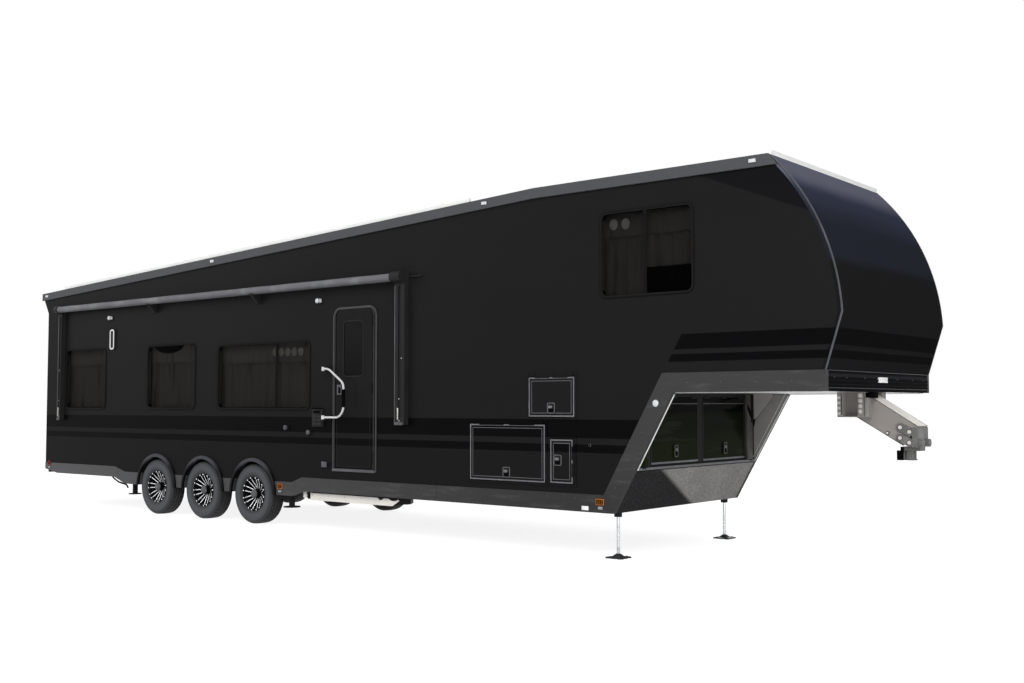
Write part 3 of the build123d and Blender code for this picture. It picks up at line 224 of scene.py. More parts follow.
def makeStudio():
    world = bpy.data.worlds.new("studioSky")
    bpy.context.scene.world = world
    world.use_nodes = True
    sky = Look("studioSkyMix", False)
    sky.tree = world.node_tree
    sky.tree.nodes.clear()
    white = sky.node("ShaderNodeBackground", {}, {"Color": (1, 1, 1, 1), "Strength": 1.0})
    soft = sky.node("ShaderNodeBackground", {},
                    {"Color": (0.95, 0.97, 1, 1), "Strength": studio["ambient"]})
    both = sky.node("ShaderNodeMixShader", {}, {0: seenRays(sky), 1: soft, 2: white})
    end = sky.tree.nodes.new("ShaderNodeOutputWorld")
    sky.tree.links.new(both.out, end.inputs[0])
    for name, (place, target, size, power) in studio["lamps"].items():
        aim = (Vector(target) - Vector(place)).to_track_quat("-Z", "Y")
        bpy.ops.object.light_add(type="AREA", location=place, rotation=aim.to_euler())
        light = bpy.context.object
        light.name = name + "Light"
        light.data.size = size
        light.data.energy = power
    bpy.ops.mesh.primitive_plane_add(size=studio["floorSize"], location=(0, 0, 0))
    floor = bpy.context.object
    floor.name = "studioFloor"
    look = Look("paleFloor")
    matt = look.node("ShaderNodeBsdfDiffuse", {}, {"Color": studio["floorTone"]})
    glow = look.node("ShaderNodeEmission", {}, {"Color": (1, 1, 1, 1), "Strength": 1.4})
    floor.data.materials.append(look.show(
        look.node("ShaderNodeMixShader", {}, {0: seenRays(look) * 0.62, 1: matt, 2: glow})))


makeStudio()
print("studio built")


# Finishes. Every pattern is in the frame's own metres.
def bands(look, rows, soft=0.004):
    # 1 inside any of the level stripes
    mask = None
    for z0, z1 in rows:
        band = look.z.within(z0, z1, soft)
        mask = band if mask is None else mask.most(band)
    return mask


def bodyPaint(name):
    # satin black panels with two pairs of darker stripes low down and round the nose, and a darker
    # wedge of painted reflection at the upper front
    stripes = {
        "low": ((1.209, 1.400), (1.060, 1.145)),
        "high": ((2.084, 2.231), (1.964, 2.038)),
        "highStart": 11.49 - neckSlope * 1.97 - middle,
        "lowEnd": 11.183 - neckSlope * 1.368 - middle,
    }
    look = Look(name)
    lean = look.x - look.z * neckSlope
    high = bands(look, stripes["high"]) * lean.over(stripes["highStart"], 0.006)
    low = bands(look, stripes["low"]) * (1 - lean.over(stripes["lowEnd"], 0.006))
    mask = low.most(high)
    cloud = look.noise(0.55, 4, 0.55, look.stretched(0.6, 0.6, 1.6))
    paint = look.mix(cloud.within(0.42, 0.62, 0.1), tone(25, 25, 25), tone(27, 26, 26))
    paint = look.mix(1 - look.z.over(1.05, 0.02), paint, tone(24, 24, 24))
    paint = look.mix(mask, paint, tone(8, 8, 9))
    # painted reflection: the upper front of the panels darkens above a sloping edge
    paintedReflectionWedge = (look.z + (look.x + middle - 11.863) * 0.406).over(3.739, 0.01)
    paintedReflectionWedge = paintedReflectionWedge * look.x.over(11.80 - middle, 0.02)
    paint = look.mix(paintedReflectionWedge * 0.8, paint, tone(14, 14, 16))
    dust = look.noise(38, 5, 0.7)
    rough = 0.34 + dust * 0.12 - mask * 0.06
    ripple = look.noise(2.2, 2, 0.4)
    return look.done(paint, rough, 0.0, look.bump(ripple, 0.05, 0.02), Specular_IOR_Level=0.015)


def nosePaint(name):
    # the curved front carries a painted sky reflection: pale and bluish at the top, near black
    # lower down
    look = Look(name)
    cloud = look.noise(0.9, 4, 0.55, look.stretched(1, 0.5, 2.4))
    lift = look.z + (cloud - 0.5) * 0.16
    # painted sky reflection, brighter and bluer with height
    sky = look.mix(lift.over(3.36, 0.2), tone(29, 31, 39), tone(42, 46, 60))
    sky = look.mix(lift.over(3.62, 0.12), sky, tone(84, 85, 98))
    paint = look.mix(lift.over(2.86, 0.06), tone(22, 22, 23), sky)
    paint = look.mix(bands(look, ((2.084, 2.231), (1.964, 2.038))), paint, tone(10, 10, 11))
    rough = 0.3 + look.noise(30, 4, 0.6) * 0.1
    return look.done(paint, rough, 0.0, None, Coat_Weight=0.015, Coat_Roughness=0.2,
                     Specular_IOR_Level=0.0)


def bandPaint(name):
    # gloss black: rounded level ribs carry thin painted highlight lines, the upper edge a painted
    # pale sheen
    look = Look(name)
    cloud = look.noise(3, 4, 0.6, look.stretched(1, 0.6, 2))
    shade = look.mix(cloud.over(0.5, 0.15), tone(4, 4, 5), tone(9, 9, 11))
    ribHighlights = ((look.z * 260).wave() * (look.z * 97).wave()).over(0.55, 0.2)
    shade = look.mix(ribHighlights * 0.6, shade, tone(34, 35, 37))
    # painted sheen along the band's upper edge
    shade = look.mix((look.z + cloud * 0.03).within(1.820, 1.846, 0.008) * 0.4, shade,
                     tone(46, 47, 51))
    return look.done(shade, 0.3 + cloud * 0.1, 0.0, None, Specular_IOR_Level=0.003)


def fenderPaint(name):
    # moulded gloss black: near black on the limbs, a painted sheen round the crown
    look = Look(name)
    fine = look.noise(220, 3, 0.6)
    cloud = look.noise(4, 3, 0.5)
    # painted sheen: the crown is lighter than the limbs
    crownSheen = (look.z + cloud * 0.06).over(0.755, 0.09)
    shade = look.mix(crownSheen, tone(13, 13, 15), tone(62, 62, 66))
    return look.done(shade, 0.24 + fine * 0.1, 0.0, look.bump(fine, 0.05, 0.001),
                     Specular_IOR_Level=0.06)


def bulkheadPaint(name):
    # black frame, with its side gussets pale like the wing beside them
    look = Look(name)
    cloud = look.noise(3, 4, 0.6)
    ahead = look.x.over(11.150 - middle, 0.003)
    shade = look.mix(cloud, tone(26, 26, 27), tone(36, 36, 37))
    shade = look.mix(ahead, shade, look.mix(cloud, tone(170, 166, 161), tone(146, 143, 139)))
    return look.done(shade, 0.5 + cloud * 0.1, 0.0, None, Specular_IOR_Level=0.04)


def plainCoat(name, colour, second, rough, grain, metal=0.0, spread=1.6, bump=0.1, level=0.3):
    # painted, moulded or powder-coated: slow cloudy change and a fine grain
    look = Look(name)
    slow = look.noise(spread, 4, 0.6)
    fine = look.noise(grain, 3, 0.6)
    shade = look.mix(slow.within(0.4, 0.7, 0.12), tone(*colour), tone(*second))
    return look.done(shade, rough + (fine - 0.5) * 0.14 + (slow - 0.5) * 0.1, metal,
                     look.bump(fine, bump, 0.0015), Specular_IOR_Level=level)


def skirtMetal(name):
    # grey formed sheet: paler towards the rear and streaked with road dust at the foot
    look = Look(name)
    along = ((look.x + middle) / 10.0).most(0.0).least(1.0)
    shade = look.mix(along, tone(82, 82, 83), tone(47, 47, 47))
    shade = look.mix(look.z.over(0.8, 0.3), shade, tone(54, 54, 54))
    streak = look.noise(5.5, 5, 0.65, look.stretched(0.5, 0.5, 3.2))
    shade = look.mix(streak.over(0.62, 0.1) * 0.35, shade, tone(84, 83, 81))
    shade = look.mix(look.z.over(2.6, 0.1), shade, tone(69, 70, 72))
    return look.done(shade, 0.5 + (streak - 0.5) * 0.2, 0.0, look.bump(streak, 0.05, 0.004),
                     Specular_IOR_Level=0.06)


def tintedGlass(name):
    # dark window film: the cloth behind shows through it
    look = Look(name)
    smear = look.noise(3.0, 4, 0.6)
    glass = look.node("ShaderNodeBsdfPrincipled", {},
                      {"Base Color": tone(5, 5, 5), "Roughness": 0.08 + smear * 0.06,
                       "Specular IOR Level": 0.006})
    clear = look.node("ShaderNodeBsdfTransparent", {}, {"Color": tone(228, 227, 226)})
    film = {0: 0.60 + smear * 0.06, 1: glass, 2: clear}
    return look.show(look.node("ShaderNodeMixShader", {}, film))


def rubber(name):
    look = Look(name)
    dust = look.noise(9, 5, 0.65)
    fine = look.noise(260, 2, 0.5)
    across = look.y.size()
    along = look.node("ShaderNodeMath", {"operation": "WRAP"},
                      {0: look.x - (wheelPlaces[0] - middle), 1: wheelGap / 2, 2: -wheelGap / 2})
    up = look.z - wheelHeight
    radius = (along * along + up * up).root()
    shade = look.mix(dust.over(0.5, 0.2), tone(37, 37, 38), tone(44, 44, 45))
    # painted shade: the inner half of each tyre, nearer the middle than 1.13 m, goes near black
    shade = look.mix(across.over(1.13, 0.03), tone(15, 15, 15), shade)
    side = look.mix(radius.within(0.262, 0.345, 0.035), tone(47, 48, 50), tone(65, 66, 69))
    # two thin painted shade lines, in the groove at the shoulder and at the bead ridge by the rim
    side = look.mix(radius.within(0.3535, 0.3565, 0.002), side, tone(34, 34, 35))
    side = look.mix(radius.within(0.2445, 0.2475, 0.002), side, tone(30, 30, 31))
    shade = look.mix(across.over(1.272, 0.012), shade, side)
    return look.done(shade, 0.66 + (fine - 0.5) * 0.2, 0.0, look.bump(fine, 0.2, 0.0008),
                     Specular_IOR_Level=0.25)


def brushedMetal(name, colour, rough=0.3, along=(0.3, 30, 30)):
    look = Look(name)
    grain = look.noise(14, 4, 0.6, look.stretched(*along))
    slow = look.noise(2.5, 4, 0.6)
    low = [c * 0.78 for c in colour]
    shade = look.mix(slow.within(0.35, 0.65, 0.15), tone(*colour), tone(*low))
    return look.done(shade, rough + (grain - 0.5) * 0.2, 1.0, look.bump(grain, 0.12, 0.0008))


def polishedSteel(name):
    look = Look(name)
    spots = look.cells(60)
    smear = look.noise(12, 4, 0.6)
    shade = look.mix(smear.over(0.62, 0.12), tone(196, 198, 202), tone(150, 148, 144))
    return look.done(shade, 0.16 + smear * 0.2, 1.0, look.bump(spots, 0.02, 0.0004))


def lens(name, colour, edge):
    # moulded lamp lens with a pressed prism pattern
    look = Look(name)
    prism = look.cells(220)
    shade = look.mix(prism.over(0.35, 0.2), tone(*colour), tone(*edge))
    return look.done(shade, 0.18 + prism * 0.2, 0.0, look.bump(prism, 0.4, 0.001),
                     Specular_IOR_Level=0.4)


def deckBoard(name):
    look = Look(name)
    grain = look.noise(3.5, 5, 0.6, look.stretched(0.5, 7, 1))
    shade = look.mix(grain, tone(84, 78, 70), tone(58, 54, 50))
    return look.done(shade, 0.62 + (grain - 0.5) * 0.2, 0.0, look.bump(grain, 0.2, 0.002))


def rockGuard(name):
    # speckled coated sheet, scuffed by stones, with a painted shadow that darkens its near side up
    # to a diagonal edge
    look = Look(name)
    grit = look.cells(150)
    chips = look.noise(42, 4, 0.75)
    slow = look.noise(1.8, 5, 0.65)
    # painted shadow: the near side is dark and the far side lit, split along a diagonal edge
    side = (look.y + (look.z - 0.864) * 2.35).over(-0.70, 0.07)
    low = look.mix(chips.over(0.56, 0.1), tone(22, 22, 24), tone(44, 44, 45))
    high = look.mix(chips.over(0.54, 0.1), tone(132, 130, 128), tone(164, 162, 159))
    high = look.mix(slow.within(0.35, 0.6, 0.14) * 0.4, high, tone(102, 101, 99))
    shade = look.mix(side, low, high)
    return look.done(shade, 0.55 + slow * 0.15, 0.0, look.bump(grit, 0.35, 0.002),
                     Specular_IOR_Level=0.04)


def bayPaint(name):
    # high gloss doors with a painted reflection of the grass and the dark trees as level soft
    # streaks
    look = Look(name)
    streak = look.noise(2.6, 5, 0.6, look.stretched(1, 0.35, 3.5))
    level = look.z + (streak - 0.5) * 0.16
    # painted reflection: green grass below, dark trees above
    grassReflection = look.mix(level.over(1.20, 0.1), tone(22, 27, 12), tone(16, 19, 11))
    shade = look.mix(level.over(1.46, 0.03), grassReflection, tone(6, 7, 6))
    # pale painted highlight streaks
    shade = look.mix(streak.over(0.6, 0.05) * 0.3, shade, tone(48, 50, 42))
    return look.done(shade, 0.12 + look.noise(24, 3, 0.5) * 0.05, 0.0, None,
                     Specular_IOR_Level=0.008)


def curtainCloth(name, colour, second):
    # woven cloth: two crossing thread waves, and soft vertical streaks of painted fold shade
    look = Look(name)
    threads = (look.x * 2400).wave() * 0.5 + (look.z * 2100).wave() * 0.5
    slow = look.noise(2.4, 4, 0.6, look.stretched(3.2, 1, 0.5))
    # painted fold shade: stretched noise darkens the cloth in soft vertical streaks
    shade = look.mix(slow.within(0.36, 0.70, 0.12), tone(*second), tone(*colour))
    return look.done(shade, 0.86 + (slow - 0.5) * 0.1, 0.0, look.bump(threads, 0.25, 0.0006),
                     Specular_IOR_Level=0.1)


# name, two tones, roughness, grain, metal, spread of the clouds, bump and shine
coats = {
    "roof": ("whiteRoofMembrane", (222, 222, 220), (216, 216, 213), 0.6, 90),
    "tube": ("rolledAwningCloth", (118, 118, 120), (98, 98, 101), 0.7, 260, 0, 2.2, 0.3, 0.1),
    "handle": ("whiteHandleGrip", (214, 214, 212), (190, 190, 188), 0.4, 160),
    "bracket": ("blackPowderCoat", (30, 30, 31), (36, 36, 37), 0.5, 300, 0, 2, 0.1, 0.05),
    "black": ("blackRubberPart", (4, 4, 4), (10, 10, 10), 0.6, 200, 0, 3, 0.1, 0.004),
    "foot": ("platedFoot", (56, 59, 62), (46, 48, 51), 0.45, 200, 0.4, 4, 0.2, 0.2),
    "arm": ("paleHitchPaint", (140, 134, 129), (130, 125, 121), 0.5, 200, 0, 3, 0.08, 0.1),
    "hitch": ("greyHitchPaint", (110, 109, 108), (92, 91, 90), 0.42, 200, 0, 5, 0.1, 0.15),
    # painted shade: the hitch paint darkened for the web set back between the flanges
    "web": ("darkHitchWeb", (92, 89, 86), (78, 76, 73), 0.5, 160, 0, 6, 0.1, 0.05),
    "latch": ("satinLatch", (116, 116, 118), (98, 98, 100), 0.4, 200, 0, 9, 0.05, 0.1),
    "doorGlass": ("darkDoorGlass", (12, 12, 12), (19, 19, 19), 0.14, 30, 0, 3, 0.02, 0.015),
    "seal": ("blackWindowSeal", (17, 17, 17), (21, 21, 21), 0.5, 200, 0, 3, 0.05, 0.006),
    "bolt": ("zincBolt", (214, 211, 204), (186, 183, 176), 0.4, 300, 0.2, 8, 0.05, 0.3),
    "rim": ("blackAlloy", (7, 7, 8), (12, 12, 13), 0.4, 300, 0, 6, 0.05, 0.03),
    "hub": ("dullHubCap", (96, 98, 98), (82, 84, 84), 0.5, 200, 0, 9, 0.05, 0.1),
    "bright": ("machinedEdge", (244, 244, 246), (230, 230, 233), 0.25, 300, 0.2, 9, 0.03, 0.5),
    "edgeTrim": ("satinEdgeTrim", (90, 90, 94), (76, 76, 79), 0.4, 200, 0, 3, 0.05, 0.12),
    "hatchTrim": ("paleHatchTrim", (116, 115, 118), (96, 96, 99), 0.4, 200, 0, 5, 0.05, 0.1),
    "doorTrim": ("satinDoorTrim", (67, 67, 68), (56, 56, 57), 0.4, 200, 0, 4, 0.05, 0.1),
    "key": ("dullKeypad", (48, 48, 49), (40, 40, 41), 0.5, 200, 0, 5, 0.05, 0.05),
    "jamb": ("paleJambLiner", (138, 136, 134), (120, 119, 117), 0.6, 200, 0, 4, 0.1, 0.05),
    "post": ("paleBayPost", (88, 85, 82), (76, 74, 71), 0.5, 200, 0, 5, 0.05, 0.05),
    # painted highlight tone for the real trims along the nose edges
    "noseEdgeHighlight": ("paleNoseTrim", (74, 76, 81), (58, 60, 64), 0.4, 200, 0, 3, 0.05, 0.15),
    "darkTrim": ("darkOpeningTrim", (34, 34, 35), (28, 28, 29), 0.45, 240, 0, 3, 0.1, 0.05),
    "lining": ("paleWingLining", (170, 167, 161), (146, 144, 139), 0.55, 120, 0, 1.2, 0.1, 0.05),
    "white": ("whiteEnamel", (232, 232, 230), (214, 214, 211), 0.4, 160, 0, 3, 0.05, 0.2),
    "tray": ("paleTrayPaint", (232, 228, 221), (218, 214, 207), 0.5, 120, 0, 2, 0.1, 0.15),
}
finish = {label: plainCoat(*values) for label, values in coats.items()}
finish.update({
    "body": bodyPaint("satinBlackPanel"),
    "nose": nosePaint("glossBlackNose"),
    "band": bandPaint("glossBlackBand"),
    "trim": skirtMetal("greySkirtMetal"),
    "bare": brushedMetal("bareAluminium", (196, 198, 200), 0.34),
    "deck": deckBoard("deckBoard"),
    "bay": bayPaint("glossBayPanel"),
    "guard": rockGuard("speckledRockGuard"),
    "glass": tintedGlass("darkWindowGlass"),
    "fender": fenderPaint("glossBlackFender"),
    "bulkhead": bulkheadPaint("bulkheadPaint"),
    "leg": polishedSteel("chromedLeg"),
    "amber": lens("amberLens", (236, 156, 66), (214, 116, 30)),
    "red": lens("redLens", (200, 64, 54), (160, 34, 30)),
    "clear": lens("clearLens", (214, 216, 218), (186, 188, 192)),
    "tyre": rubber("dustyTyreRubber"),
    "curtain": curtainCloth("wovenCurtain", (149, 147, 145), (90, 89, 88)),
    "dimCurtain": curtainCloth("wovenBedroomCurtain", (124, 122, 120), (88, 87, 86)),
    "valance": curtainCloth("wovenValance", (158, 156, 155), (118, 117, 116)),
    # a much paler copy of the cloth: painted highlight on the pleat tops
    "pleat": curtainCloth("brightPleat", (222, 221, 214), (188, 187, 180)),
})
nodeFinish = {
    "body": ("wall_left", "wall_right", "door_frame", "entry_door", "hatch_", "rear_frame",
             "ramp_door", "opening_frames"),
    "nose": ("nose_shell",),
    "band": ("nose_band",),
    "trim": ("body_skirts", "roof_fascia"),
    "roof": ("roof_panel", "roof_units"),
    "bare": ("neck_frame", "neck_floor"),
    "deck": ("main_floor",),
    "bay": ("bay_door_",),
    "bulkhead": ("neck_bulkhead",),
    "bracket": ("chassis_frame", "torsion_axles", "leg_sleeves", "wheel_tubs",
                "awning_arms", "wall_fixtures", "entry_step"),
    "fender": ("wheel_fenders",),
    "guard": ("front_guard",),
    "glass": ("window_glass",),
    "doorGlass": ("door_glass",),
    "tube": ("awning_tube",),
    "handle": ("grab_handle",),
    "leg": ("landing_legs",),
    "arm": ("hitch_arm", "hitch_bracket"),
    "hitch": ("hitch_head", "ball_coupler"),
    "amber": ("lamps_amber",),
    "red": ("lamps_red",),
    "clear": ("lamps_clear",),
    "tyre": ("tyre_",),
    "rim": ("rim_",),
}


def dressNodes():
    for label, starts in nodeFinish.items():
        for name, piece in nodes.items():
            if name.startswith(starts):
                piece.data.materials.clear()
                piece.data.materials.append(finish[label])


dressNodes()
print("nodes dressed")


# Modelling helpers
def at(station):
    # the frame's x of a station measured from the rear wall
    return station - middle


def around(centre, size):
    return (centre - size / 2, centre + size / 2)


def spaced(start, stop, pitch):
    # stations a pitch apart, from start to before stop
    return [start + pitch * n for n in range(math.ceil((stop - start) / pitch))]


def nothingSelected():
    if bpy.context.object and bpy.context.object.mode != "OBJECT":
        bpy.ops.object.mode_set(mode="OBJECT")
    bpy.ops.object.select_all(action="DESELECT")


def only(piece):
    nothingSelected()
    piece.select_set(True)
    bpy.context.view_layer.objects.active = piece


def named(piece, name, *looks):
    piece.name = name
    piece.data.name = name
    piece.data.materials.clear()
    for look in looks:
        piece.data.materials.append(finish[look])
    return piece


def blockPiece(name, look, low, high, edge=0.0, rounds=2):
    # a box between two corners given in any order, its edges rounded over
    nothingSelected()
    pairs = [sorted(pair) for pair in zip(low, high)]
    bpy.ops.mesh.primitive_cube_add(size=1, location=[(a + b) / 2 for a, b in pairs])
    piece = bpy.context.object
    piece.scale = [b - a for a, b in pairs]
    bpy.ops.object.transform_apply(location=True, rotation=True, scale=True)
    named(piece, name, look)
    return rounded(piece, edge, rounds)


def stationBlock(name, look, x, y, z, edge=0.0, rounds=2):
    # a block between two stations, two depths and two heights
    return blockPiece(name, look, (at(x[0]), y[0], z[0]), (at(x[1]), y[1], z[1]), edge, rounds)


def rodPiece(name, look, start, end, radius, edge=0.0, sides=24):
    # a round bar between two points
    nothingSelected()
    a, b = Vector(start), Vector(end)
    turn = (b - a).to_track_quat("Z", "Y").to_euler()
    bpy.ops.mesh.primitive_cylinder_add(vertices=sides, radius=radius, depth=(b - a).length,
                                        location=(a + b) / 2, rotation=turn)
    piece = bpy.context.object
    bpy.ops.object.transform_apply(location=True, rotation=True, scale=True)
    named(piece, name, look)
    bpy.ops.object.shade_smooth_by_angle(angle=0.6)
    return rounded(piece, edge, 2)


def rounded(piece, edge, rounds=2):
    if edge > 0:
        only(piece)
        soft = piece.modifiers.new("edges", "BEVEL")
        soft.width = edge
        soft.segments = rounds
        soft.limit_method = "ANGLE"
        bpy.ops.object.modifier_apply(modifier="edges")
        bpy.ops.object.shade_smooth_by_angle(angle=0.6)
    return piece


def pointStart(place):
    # an object with a single vertex at a place, in edit mode
    nothingSelected()
    bpy.ops.mesh.primitive_plane_add(size=0.01, location=place)
    bpy.ops.object.transform_apply(location=True, rotation=True, scale=True)
    bpy.ops.object.mode_set(mode="EDIT")
    bpy.ops.mesh.select_mode(type="VERT")
    bpy.ops.mesh.select_all(action="SELECT")
    bpy.ops.mesh.merge(type="CENTER")
    return bpy.context.object


def drawn(points):
    # extrudes one vertex through the points
    piece = pointStart(points[0])
    for a, b in zip(points[:-1], points[1:]):
        bpy.ops.mesh.extrude_region_move(
            TRANSFORM_OT_translate={"value": Vector(b) - Vector(a)})
    return piece


def turnedPiece(name, look, profile, centre, axis, steps):
    # a profile of (radius, distance along the axis), spun round and closed
    side = Vector((1, 0, 0)) if abs(axis[0]) < 0.5 else Vector((0, 1, 0))
    along = Vector(axis)
    points = [Vector(centre) + side * r + along * d for r, d in profile]
    piece = drawn(points)
    bpy.ops.mesh.select_all(action="SELECT")
    bpy.ops.mesh.spin(steps=steps, angle=2 * math.pi, center=centre, axis=axis)
    bpy.ops.mesh.select_all(action="SELECT")
    bpy.ops.mesh.remove_doubles(threshold=0.00005)
    bpy.ops.mesh.normals_make_consistent(inside=False)
    bpy.ops.object.mode_set(mode="OBJECT")
    named(piece, name, look)
    bpy.ops.object.shade_smooth_by_angle(angle=0.5)
    return piece


def platePiece(name, look, outline, start, depth, edge=0.0, rounds=2):
    # a closed outline pushed along depth from start; outline points are offsets from start
    points = [Vector(start) + Vector(p) for p in outline]
    piece = drawn(points)
    bpy.ops.mesh.select_all(action="SELECT")
    bpy.ops.mesh.edge_face_add()
    bpy.ops.mesh.extrude_region_move(TRANSFORM_OT_translate={"value": depth})
    bpy.ops.mesh.select_all(action="SELECT")
    bpy.ops.mesh.normals_make_consistent(inside=False)
    bpy.ops.object.mode_set(mode="OBJECT")
    named(piece, name, look)
    return rounded(piece, edge, rounds)


def sidePlate(name, look, outline, y, depth, edge=0.0):
    # a plate from (station, height) points, standing out from y
    return platePiece(name, look, [(at(x), 0, z) for x, z in outline], (0, y, 0), (0, depth, 0),
                      edge, 1)


def pipePiece(name, look, points, radius, ease=2.5):
    # a round rigid pipe or bar through points, its corners eased and its ends capped
    piece = drawn([Vector(p) for p in points])
    bpy.ops.mesh.select_all(action="SELECT")
    bpy.ops.mesh.bevel(offset=radius * ease, segments=6, affect="VERTICES")
    bpy.ops.object.mode_set(mode="OBJECT")
    only(piece)
    bpy.ops.object.convert(target="CURVE")
    piece = bpy.context.object
    piece.data.bevel_depth = radius
    piece.data.bevel_resolution = 3
    piece.data.use_fill_caps = True
    bpy.ops.object.convert(target="MESH")
    piece = bpy.context.object
    named(piece, name, look)
    bpy.ops.object.shade_smooth_by_angle(angle=0.6)
    return piece


def pickFaces(piece, test):
    # leaves the piece in edit mode with the chosen faces selected
    only(piece)
    bpy.ops.object.mode_set(mode="EDIT")
    bpy.ops.mesh.select_mode(type="FACE")
    bpy.ops.mesh.select_all(action="DESELECT")
    bpy.ops.object.mode_set(mode="OBJECT")
    for face in piece.data.polygons:
        face.select = bool(test(face))
    bpy.ops.object.mode_set(mode="EDIT")


def closeEdit():
    bpy.ops.object.mode_set(mode="OBJECT")


def joined(name, pieces):
    nothingSelected()
    for piece in pieces:
        piece.select_set(True)
    bpy.context.view_layer.objects.active = pieces[0]
    if len(pieces) > 1:
        bpy.ops.object.join()
    pieces[0].name = name
    pieces[0].data.name = name
    return pieces[0]


def copied(piece, name, move=None, flip=False, turn=None):
    # a copy with its own mesh: turned, then mirrored left to right, then moved
    only(piece)
    bpy.ops.object.duplicate()
    twin = bpy.context.object
    twin.name = name
    twin.data.name = name
    if turn:
        twin.data.transform(turn)
    if flip:
        twin.data.transform(Matrix.Scale(-1, 4, (0, 1, 0)))
        twin.data.flip_normals()
    if move:
        twin.data.transform(Matrix.Translation(move))
    return twin


def aboutY(centre, angle):
    return (Matrix.Translation(centre) @ Matrix.Rotation(angle, 4, "Y")
            @ Matrix.Translation(-Vector(centre)))


def ridden(piece, body, replaced=()):
    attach(piece, body)
    if replaced:
        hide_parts(*replaced)
    return piece


def bothSides(piece, body="trailer", replaced=()):
    # the piece on the right, and its mirror image on the left
    ridden(copied(piece, piece.name + "_left", flip=True), body)
    return ridden(piece, body, replaced)


def headRow(name, look, places, axis, radius, height, sides=12):
    # bolt or screw heads at places, each a short rounded bar along the axis
    heads = []
    for place in places:
        end = Vector(place) + Vector(axis) * height
        heads.append(rodPiece(name, look, place, end, radius, height * 0.35, sides))
    return joined(name, heads)


def ringPiece(name, look, x0, x1, z0, z1, y, depth, width, corner=0.0, edge=0.0015, square=False):
    # a flat frame in X and Z: an outline, inset, and pushed out along Y
    nothingSelected()
    bpy.ops.mesh.primitive_plane_add(size=1)
    piece = bpy.context.object
    piece.data.transform(Matrix.Translation(((x0 + x1) / 2, y, (z0 + z1) / 2))
                         @ Matrix.Rotation(math.pi / 2, 4, "X")
                         @ Matrix.Diagonal((x1 - x0, z1 - z0, 1, 1)))
    bpy.ops.object.mode_set(mode="EDIT")
    bpy.ops.mesh.select_mode(type="VERT")
    if corner:
        bpy.ops.mesh.select_all(action="DESELECT")
        bpy.ops.object.mode_set(mode="OBJECT")
        for point in piece.data.vertices:
            point.select = point.co.z > (z0 + z1) / 2 or not square
        bpy.ops.object.mode_set(mode="EDIT")
        bpy.ops.mesh.bevel(offset=corner, segments=6, affect="VERTICES")
    bpy.ops.mesh.select_all(action="SELECT")
    bpy.ops.mesh.select_mode(type="FACE")
    bpy.ops.mesh.inset(thickness=width)
    bpy.ops.mesh.delete(type="FACE")
    bpy.ops.mesh.select_all(action="SELECT")
    bpy.ops.mesh.extrude_region_move(TRANSFORM_OT_translate={"value": (0, depth, 0)})
    bpy.ops.mesh.select_all(action="SELECT")
    bpy.ops.mesh.normals_make_consistent(inside=False)
    bpy.ops.mesh.select_mode(type="VERT")
    bpy.ops.object.mode_set(mode="OBJECT")
    named(piece, name, look)
    return rounded(piece, edge, 1)


# Wheels: grooved tyres with shoulder lugs, and forked spokes deep inside a studded lip
tyre = {
    "profile": [(0.205, -0.083), (0.222, -0.0905), (0.230, -0.097), (0.240, -0.1045),
                (0.246, -0.1050), (0.252, -0.1095), (0.290, -0.1160), (0.322, -0.1165),
                (0.330, -0.1155), (0.334, -0.1168), (0.346, -0.1160), (0.366, -0.1090),
                (0.379, -0.0985), (0.3855, -0.0880), (0.3800, -0.0868), (0.3800, -0.0820),
                (0.3868, -0.0808), (0.3885, -0.0480), (0.3805, -0.0474), (0.3805, -0.0400),
                (0.3888, -0.0394), (0.3895, -0.0060), (0.3812, -0.0054)],
    "steps": 144,
    "lugRows": (0.382, 0.3895),
    "lugDepth": 0.003,
}
rim = {
    "barrel": [(0.205, -0.0825), (0.2205, -0.0905), (0.2225, -0.0955), (0.2195, -0.0975),
               (0.2050, -0.0970), (0.1985, -0.0935), (0.1955, -0.0880), (0.1945, -0.0600),
               (0.1895, -0.0530), (0.1830, -0.0470), (0.1812, 0.0600), (0.1950, 0.0850),
               (0.2190, 0.0960), (0.2205, 0.0905), (0.205, 0.0825)],
    "hub": [(0.0, -0.0860), (0.0560, -0.0860), (0.0565, -0.0300), (0.0640, -0.0220),
            (0.0740, -0.0180), (0.0780, -0.0100), (0.0780, 0.0100), (0.0, 0.0100)],
    "cap": [(0.0, -0.1115), (0.018, -0.1110), (0.034, -0.1080), (0.047, -0.1015), (0.0545, -0.0930),
            (0.0575, -0.0850), (0.0, -0.0850)],
    "drum": [(0.0, 0.0200), (0.160, 0.0200), (0.168, 0.0260), (0.168, 0.0600), (0.0, 0.0600)],
    "forks": 8,
    "leg": {"root": 0.060, "spread": 0.007, "lean": 0.2762, "halfWidth": 0.0084,
            "face": ((0.0, -0.0200), (0.045, -0.0400), (0.095, -0.0650), (0.138, -0.0860)),
            "back": 0.0220},
    "stud": {"ring": 0.2110, "angle": 0.2317, "radius": 0.0092, "start": -0.0950, "height": 0.0070},
    "nuts": {"count": 8, "ring": 0.0690, "radius": 0.0065, "height": 0.0120},
    "phase": {"right_1": -0.35, "right_2": 0.19, "right_3": -0.07, "left_1": 0.3, "left_2": -0.1,
              "left_3": 0.12},
}


